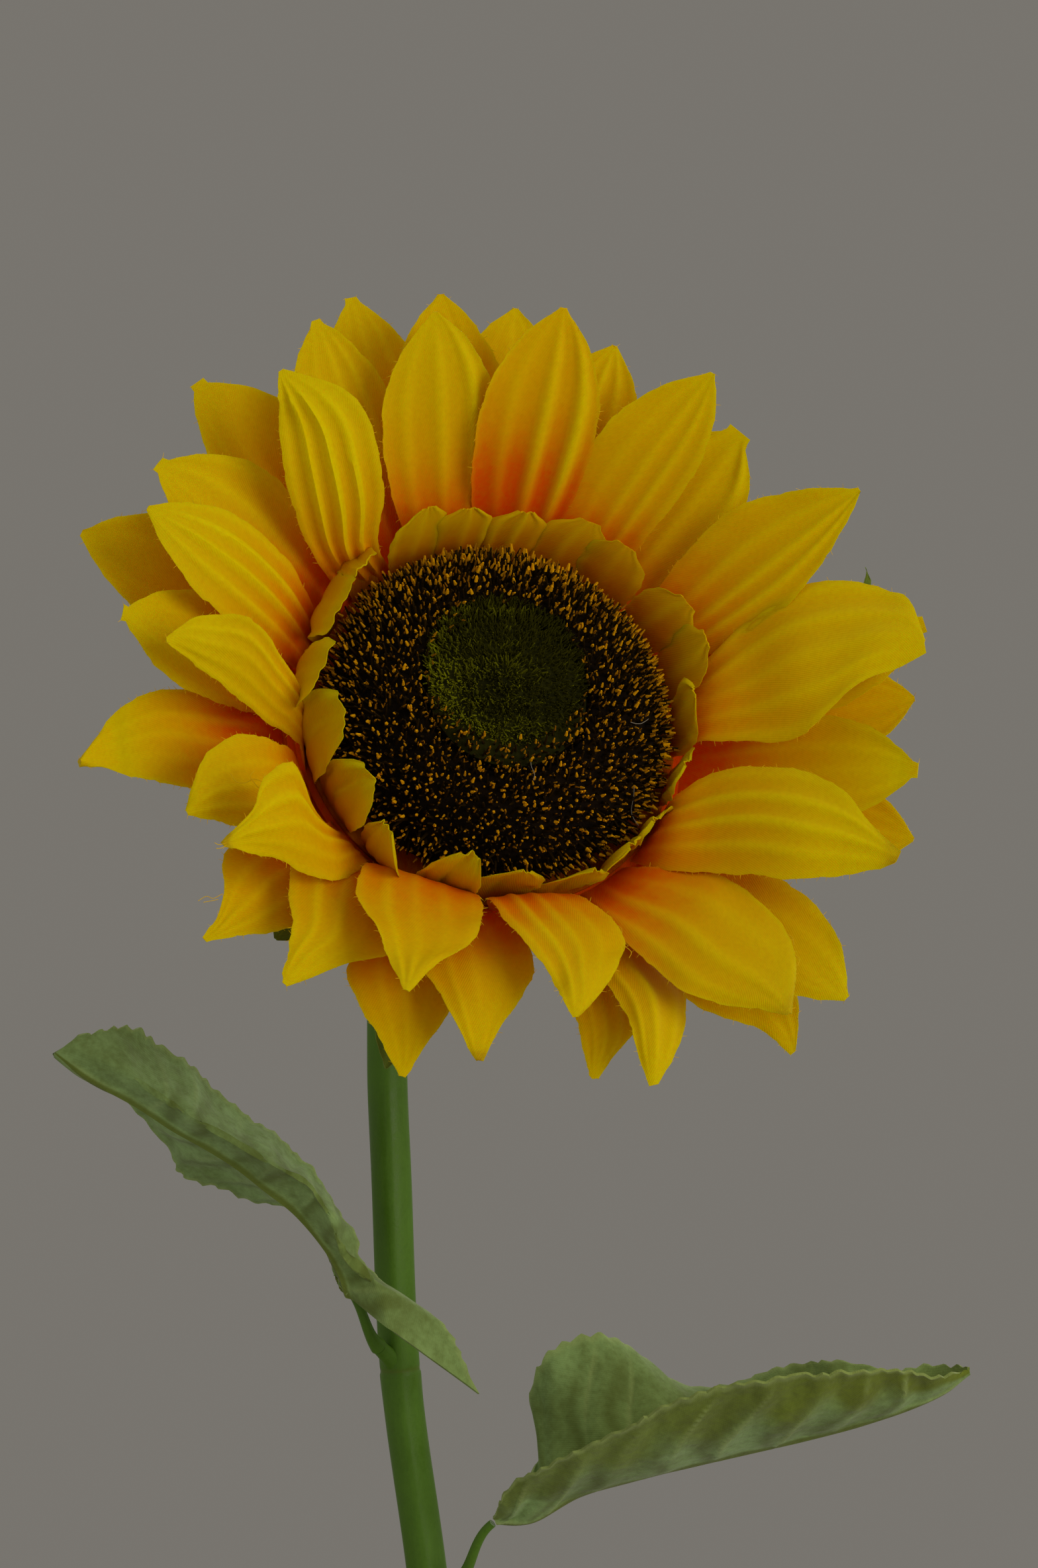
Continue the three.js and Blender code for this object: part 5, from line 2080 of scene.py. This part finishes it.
LEAVES: dict[str, Leaf] = {
    "left": Leaf(
        node=332, stalk_short=0.9, base=(-29, -14, 352.2), tip=(-91, -40, 405.6), pitch=3.9, tooth=2.4,
        crisp=0.6, across=(-1, 0, 0.4, 1), shade_tones=(0.6, 1, 0.4, 0.35),
        notches=((0.765, -1, 2.6), (0.61, -1, -1.3), (0.545, -1, 3.2), (0.46, -1, 0.8)), bare=0.68,
        veined=0.55, paling=0.6,
        net=(
            -29.5, -14.5, 350.3, -28.5, -14, 350.2, -19, -20, 343.4, -0.1, -12, 328.1,
            -31.5, -13, 355.5, -30.6, -15, 355.8, -22.6, -19, 353.8, -7.6, -14, 343.6,
            -34.6, -10, 361.4, -33.9, -16.5, 362.3, -29.3, -20, 360.3, -24.2, -12, 355.8,
            -40.5, -6, 367.6, -39.6, -18.5, 369.2, -33, -24.5, 370, -27.1, -13, 363.9,
            -44.5, -4, 369.1, -45.8, -21, 374.5, -37.3, -27, 376.8, -33.5, -14, 373.7,
            -53.7, -6, 371.7, -52.4, -24, 380.2, -44.3, -30, 380.7, -39.4, -15, 380.8,
            -65.2, -10, 376.9, -59, -27, 384.8, -52.8, -33, 386.4, -49.9, -18, 389.4,
            -69.1, -16, 383.8, -66.4, -30, 389.4, -61.2, -36, 391.5, -58.5, -21, 397.4,
            -76.5, -26, 393.9, -74.3, -33.5, 395, -68.9, -39.5, 397, -66.9, -25, 405,
            -85.2, -34, 399.7, -83, -37, 400.1, -78.4, -40, 403.6, -74.6, -31, 410.9,
            -90.8, -40, 405.9, -90.8, -40, 406, -88.4, -40, 407.7, -85.7, -39, 409.8,
        ),
    ),
    "right": Leaf(
        node=279, stalk_short=0.1, base=(3.5, -12, 299.3), tip=(109, -22, 335.3),
        shade_tones=(1, 1, 0.8, 0.45, 0.2), notches=((0.85, 1, 3.5), (0.63, -1, 0.8)), under=0.9, paling=-0.45,
        tooth=1.5,
        net=(
            4.1, -12.5, 301, 4.3, -12.3, 300.4, 4.4, -12, 299.9, 6.8, -11, 301.5, 8.9, -10, 304,
            6.8, -22.5, 308.6, 9.5, -18.1, 303.6, 12.1, -12.5, 300.4, 13.8, -4.5, 306.2, 14.8, 1.5, 313.7,
            17.2, -31, 316.3, 19.9, -23.1, 309.3, 22.6, -13, 306.2, 17.5, -3, 313.4, 11.9, 3, 324.1,
            30.3, -38, 323.2, 32.8, -27.4, 313.7, 35.2, -14, 309.9, 24.9, -5, 321.2, 16.3, 1, 335.4,
            42.5, -42, 330.7, 45.2, -30.1, 318.8, 47.8, -15, 313.3, 36.5, -5, 323.3, 27.2, 3, 339.1,
            56.7, -43, 335.5, 58.5, -31.1, 322.7, 60.3, -16, 316.4, 48.3, -5, 322.7, 37.9, 6, 333.9,
            69, -42, 336.9, 70.9, -31, 325.2, 72.8, -17, 319.5, 60.9, -6, 322.4, 50.8, 5, 326.5,
            80.3, -39.5, 337.2, 82.3, -30.3, 327.5, 84.3, -18.5, 322.8, 75.4, -9.5, 326.1, 69.8, -0.5, 332.7,
            91.1, -35, 336.5, 92.8, -28.4, 329.7, 94.5, -20, 326.4, 86.8, -13, 329.9, 81, -7, 334.4,
            99.9, -29, 334.3, 100.8, -25.5, 331.1, 101.7, -21, 329.8, 101.1, -17, 331.5, 100.4, -14, 334.7,
            108, -22.3, 334.9, 108.3, -22.2, 334.6, 108.5, -22, 334.3, 108.4, -21.8, 334.9, 108.4, -21.7, 335.6,
        ),
    ),
    "low": Leaf(
        node=222, stalk_short=0.5, base=(-22, 14, 244), tip=(-100, 46, 256),
        net=(
            -3, 25, 249, -12, 19, 247, -22, 14, 244, -19, 3, 246, -17, -7, 247,
            -13, 36, 256, -22, 26, 255, -31, 17, 249, -31, 4, 253, -33, -9, 254,
            -31, 49, 262, -37, 35, 261, -44, 22, 255, -49, 9, 259, -53, -6, 259,
            -49, 54, 264, -54, 41, 263, -60, 29, 259, -65, 16, 262, -70, 3, 261,
            -69, 54, 262, -73, 45, 262, -77, 36, 260, -81, 27, 261, -85, 18, 260,
            -87, 50, 259, -89, 46, 260, -90, 42, 259, -92, 37, 259, -94, 33, 258,
            -99, 48, 256, -99.5, 47, 256, -100, 46, 256, -100, 45, 256, -100, 44, 256,
        ),
    ),
}  # fmt: skip


@dataclass
class Stem:
    """The moulded stem with its leaf stubs, its sleeve joints and its stalks."""

    bloom: BloomFrame
    cup_back: float = -30.1
    foot_radius: float = 5.0
    top_radius: float = 4.6
    stub_length: float = 9.5
    stub_climb: float = 0.7
    stub_radius: float = 2.3
    stub_tip: float = 1.75
    stalk_radius: float = 1.3
    stalk_tip: float = 0.95
    knots: tuple[Triple, ...] = (
        (1, 0, 108.3), (0.5, 0, 160), (-3.5, 0, 220), (-11.8, 1, 288), (-17.5, 2, 330),
        (-19.6, 2, 375), (-20.6, 3, 402), (-19.6, 4.3, 434), (-15.5, 1.6, 451),
    )  # fmt: skip

    def line(self, steps: int) -> Array:
        """The stem's middle line, evenly spaced, from the potting surface to the cup.

        Args:
            steps: how many places are wanted.

        Returns:
            The places.
        """
        end = self.bloom.middle + self.bloom.facing * self.cup_back
        knots = [np.array(knot, float) for knot in self.knots] + [end - 9 * self.bloom.facing, end]
        knots = [2 * knots[0] - knots[1]] + knots + [2 * knots[-1] - knots[-2]]
        rows = []
        for a, b, c, d in zip(knots, knots[1:], knots[2:], knots[3:]):
            first, second, third = (math.sqrt(np.linalg.norm(q - p)) for p, q in ((a, b), (b, c), (c, d)))
            out = ((b - a) / first - (c - a) / (first + second) + (c - b) / second) * second
            into = ((c - b) / second - (d - b) / (second + third) + (d - c) / third) * second
            t = np.linspace(0, 1, 60, endpoint=False)[:, None]
            square, cube = -3 * b + 3 * c - 2 * out - into, 2 * b - 2 * c + out + into
            rows.append(b + out * t + square * t**2 + cube * t**3)
        fine = np.concatenate(rows + [knots[-2][None]])
        gone = travelled(fine)
        even = np.linspace(0, gone[-1], steps)
        return np.stack([np.interp(even, gone, fine[:, axis]) for axis in range(3)], axis=1)

    def at(self, height: float) -> Array:
        """The place on the middle line at a height."""
        line = self.line(2000)
        return line[np.argmin(np.abs(line[:, 2] - height))]

    def stalk(self, leaf: Leaf) -> tuple[Array, Array, Array]:
        """How a leaf's stalk runs.

        Args:
            leaf: the leaf that it carries.

        Returns:
            Its root on the stem, its stub's end and its own line.
        """
        root, base = self.at(leaf.node), np.array(leaf.base, float)
        out = base - root
        way = unit((out[0], out[1], math.hypot(out[0], out[1]) * self.stub_climb))
        stub_end = root + way * self.stub_length
        start = stub_end + way * GAP
        arrive = unit(unit(np.array(leaf.tip) - base) + unit(base - start))
        end = base - arrive * leaf.stalk_short
        bend = np.linalg.norm(end - start) * 0.35
        first, last = start + way * bend, end - arrive * bend
        t = np.linspace(0, 1, 26)[:, None]
        line = (1 - t) ** 3 * start + 3 * (1 - t) ** 2 * t * first + 3 * (1 - t) * t**2 * last + t**3 * end
        return root, stub_end, line

    def section(self, turn: Array) -> Array:
        """The stem's rounded square section.

        Args:
            turn: the angles round it.

        Returns:
            The share of the radius at each.
        """
        power = 1.5
        full = (np.abs(np.cos(turn)) ** power + np.abs(np.sin(turn)) ** power) ** (-1 / power)
        return full * 0.99

    def build(self, wardrobe: Wardrobe) -> None:
        """Builds the stem and the three stalks.

        Args:
            wardrobe: the finishes.
        """
        plastic = wardrobe.wear(STEM_PLASTIC)
        line = self.line(900)
        line[0] = line[0] - np.array([0, 0, 2.0])
        share = np.linspace(0, 1, len(line))
        radii = mix(self.foot_radius, self.top_radius, np.minimum(1, share * 2))
        mark = np.zeros(len(line))
        for leaf in LEAVES.values():
            below = leaf.node + 1.2 - line[:, 2]
            sleeve = np.exp(-((np.clip(below - 2.2, 0, None) / 5) ** 2)) * (below > 2.2)
            groove = np.exp(-(((below - 1.6) / 0.45) ** 2))
            radii = radii + 0.15 * sleeve - 0.1 * groove
            mark = np.maximum(mark, 0.35 * groove)
        points, faces, along = tube(line, radii, 32, section=self.section)
        stem = Draft("stem_sleeve").add(points, faces, mark=np.interp(along, share, mark))
        stalks = {}
        for side, leaf in LEAVES.items():
            root, stub_end, line = self.stalk(leaf)
            t = np.linspace(0, 1, 16)
            taper = mix(self.stub_radius, self.stub_tip, ease(t)) + 0.8 * (1 - t) ** 3
            stem.add(*tube(root + (stub_end - root) * t[:, None], taper, 20, start=(0.3, -1, 0.1))[:2])
            t = np.linspace(0, 1, len(line))
            radii = mix(self.stalk_radius, self.stalk_tip, t) + 0.65 * (1 - t) ** 6
            stalks[side] = Draft("stalk_" + side).add(*tube(line, radii, 16, start=(0.3, -1, 0.1))[:2])
        settle(stem.make(plastic, 40), "stem_plastic", "stem")
        for side, stalk in stalks.items():
            settle(stalk.make(plastic), "stem_plastic", "leaf_stalk_" + side)


@dataclass
class Foliage:
    """The three leaf blades of pressed cloth."""

    thickness: float = 0.6

    def build(self, wardrobe: Wardrobe) -> None:
        """Builds and dresses each blade."""
        for number, (side, leaf) in enumerate(LEAVES.items()):
            places, form, weave = leaf.surface(40 + 7 * number)
            rib = 0.5 * np.exp(-((weave[..., 0] * 10 / 1.1) ** 2))
            lower = form.copy()
            lower[..., 3] = leaf.under * ease(form[..., 1] * 2.4 - 0.75 + 0.3 * np.sin(46 * form[..., 0]))
            lower[..., 3] += leaf.paling * (0.5 - form[..., 0])
            draft = Draft("leaf_cloth_" + side)
            draft.add_cloth(places, self.thickness + rib, form, lower, weave)
            settle(draft.make(wardrobe.wear(LEAF_CLOTH)), "leaf_fabric", "leaf_blade_" + side)


# The pot


@dataclass
class Pot:
    """A plain round clay pot, filled to near its rim."""

    height: float = 120.0
    rim_radius: float = 66.0
    foot_radius: float = 46.0
    wall: float = 5.0
    base: float = 7.0
    band: float = 22.0
    band_step: float = 3.0

    def radius(self, height: float) -> float:
        """The outer radius below the band at a height."""
        return mix(self.foot_radius, self.rim_radius - self.band_step, height / self.height)

    def profile(self) -> Pairs:
        """The pot's outline, up its outside and down its inside."""
        foot = self.height - self.band
        return [
            (0, 0),
            (self.foot_radius - 1.5, 0),
            (self.foot_radius, 1.5),
            (self.radius(foot), foot),
            (self.radius(foot) + self.band_step, foot + 1),
            (self.rim_radius - 1, self.height - 1),
            (self.rim_radius - 2.5, self.height),
            (self.rim_radius - self.wall, self.height),
            (self.radius(self.height) - self.wall, self.height - 4),
            (self.radius(self.base) - self.wall, self.base),
            (0, self.base),
        ]

    def build(self, wardrobe: Wardrobe) -> None:
        """Builds the pot, its filling and the crumbs on it.

        Args:
            wardrobe: the finishes.
        """
        draft = Draft("clay_pot").add(*spun(rounded(self.profile(), 1.6, 5), 160))
        settle(draft.make(wardrobe.wear(CLAY), 70), "terracotta", "pot")
        edge, floor = GROUND - 4.0, self.base + GAP
        outer = self.radius(edge) - self.wall - GAP - 0.4
        inner = self.radius(floor) - self.wall - GAP - 0.4
        top = [(outer, edge), (outer * 0.9, edge + 0.6), (outer * 0.6, edge + 2.6), (outer * 0.3, edge + 3.6)]
        top += [(7, GROUND), (0, GROUND)]
        points, faces = spun([(0, floor), (inner, floor), *top], 120)
        reach = np.hypot(points[:, 0], points[:, 1])
        lumps = waves(points[:, 0] / 16, 31) * waves(points[:, 1] / 16, 32)
        points[:, 2] += np.where(points[:, 2] > edge - 1, 0.7 * lumps * ease((outer - reach) / 4), 0)
        draft = Draft("soil_bed").add(points, faces)
        settle(draft.make(wardrobe.wear(SOIL)), "potting_fill", "pot_fill")
        rings, sides = 27, 72
        turn = 2 * np.pi * np.arange(sides) / sides
        radius = mix(4.5, outer - 1.2, np.arange(rings) / (rings - 1))[:, None]
        height = np.interp(radius, *np.array(top[::-1]).T)
        grid = np.arange(rings * sides).reshape(rings, sides)
        faces = quads(np.column_stack([grid, grid[:, 0]]))
        draft = Draft("soil_crumbs").add(polar(radius, turn, height).reshape(-1, 3), faces)
        crumbs = CrumbField("soil_crumbs", 1.5, 260000.0)
        settle(crumbs.scatter(draft.make(), wardrobe.wear(CRUMB)), "potting_fill")


# The studio


@dataclass
class Studio:
    """The camera of the photograph, soft lights, a plain pale floor and a grey surround."""

    eye: Triple = (0.0093, -0.890, 0.464)
    aim: Triple = (0.0, -0.03, 0.44)
    lens: float = 36 * 5950 / 2368
    surround: Colour = (0.187, 0.176, 0.157)
    glow: Colour = (1.0, 0.95, 0.8)
    glow_strength: float = 0.27
    floor_size: float = 2.2
    lights: tuple[tuple[str, Triple, float, float, Colour], ...] = (
        ("key", (0.95, -0.8, 0.66), 0.8, 5.6, (1.0, 0.94, 0.78)),
        ("fill", (-0.95, -0.9, 0.6), 1.0, 0.5, (1.0, 0.96, 0.88)),
        ("top", (0.0, -0.25, 1.75), 1.6, 1.8, (1.0, 0.95, 0.82)),
        ("back", (0.6, 1.1, 1.0), 0.8, 2.5, (1.0, 0.96, 0.88)),
    )

    def build(self, wardrobe: Wardrobe) -> None:
        """Sets the camera, the lights, the surround and the floor.

        Args:
            wardrobe: the finishes.
        """
        scene = bpy.context.scene
        scene.view_settings.view_transform = "Standard"
        lens = bpy.data.cameras.new("camera")
        lens.lens, lens.sensor_width = self.lens, 36
        lens.clip_start, lens.clip_end = 0.05, 20
        camera = bpy.data.objects.new("camera", lens)
        camera.location = self.eye
        camera.rotation_euler = (math.pi / 2, 0, 0)
        scene.collection.objects.link(camera)
        scene.camera = camera
        for light in self.lights:
            self._light(*light)
        self._surround()
        self._floor(wardrobe)

    def _light(self, name: str, place: Triple, size: float, power: float, colour: Colour) -> None:
        """Hangs one soft square light that looks at the bloom.

        Args:
            name: what it is called.
            place: where it hangs, in metres.
            size: how long its sides are.
            power: how bright it is, in watts.
            colour: its colour.
        """
        lamp = bpy.data.lights.new(name, "AREA")
        lamp.shape, lamp.size, lamp.energy, lamp.color = "SQUARE", size, power, colour
        holder = bpy.data.objects.new(name, lamp)
        holder.location = place
        holder.rotation_euler = (Vector(self.aim) - Vector(place)).to_track_quat("-Z", "Y").to_euler()
        bpy.context.scene.collection.objects.link(holder)

    def _surround(self) -> None:
        """A grey surround for the eye and an even soft light for the plant."""
        world = bpy.data.worlds.new("surround")
        world.use_nodes = True
        world.node_tree.nodes.clear()
        bench = Bench(world.node_tree)
        seen = bench.add("ShaderNodeBackground", {"Color": (*self.surround, 1)})
        lit = bench.add("ShaderNodeBackground", {"Color": (*self.glow, 1), "Strength": self.glow_strength})
        rays = bench.add("ShaderNodeLightPath")
        inputs = {0: rays.outputs["Is Camera Ray"], 1: lit.outputs[0], 2: seen.outputs[0]}
        both = bench.add("ShaderNodeMixShader", inputs)
        bench.add("ShaderNodeOutputWorld", {"Surface": both.outputs[0]})
        bpy.context.scene.world = world

    def _floor(self, wardrobe: Wardrobe) -> None:
        """A plain pale floor under the pot.

        Args:
            wardrobe: the finishes.
        """
        half = self.floor_size / 2 / MM
        corners = np.array([(x * half, y * half, -0.2) for x, y in ((-1, -1), (1, -1), (1, 1), (-1, 1))])
        floor = Draft("floor").add(corners, [[0, 1, 2, 3]]).make(wardrobe.wear(PALE_FLOOR))


def main() -> None:
    """Builds the studio, then the plant from the pot up."""
    logging.basicConfig(level=logging.INFO, format="%(message)s")
    wardrobe = Wardrobe()
    bloom = Bloom()
    Studio().build(wardrobe)
    Pot().build(wardrobe)
    Stem(bloom.at).build(wardrobe)
    Foliage().build(wardrobe)
    bloom.build(wardrobe)


if __name__ == "__main__":
    main()
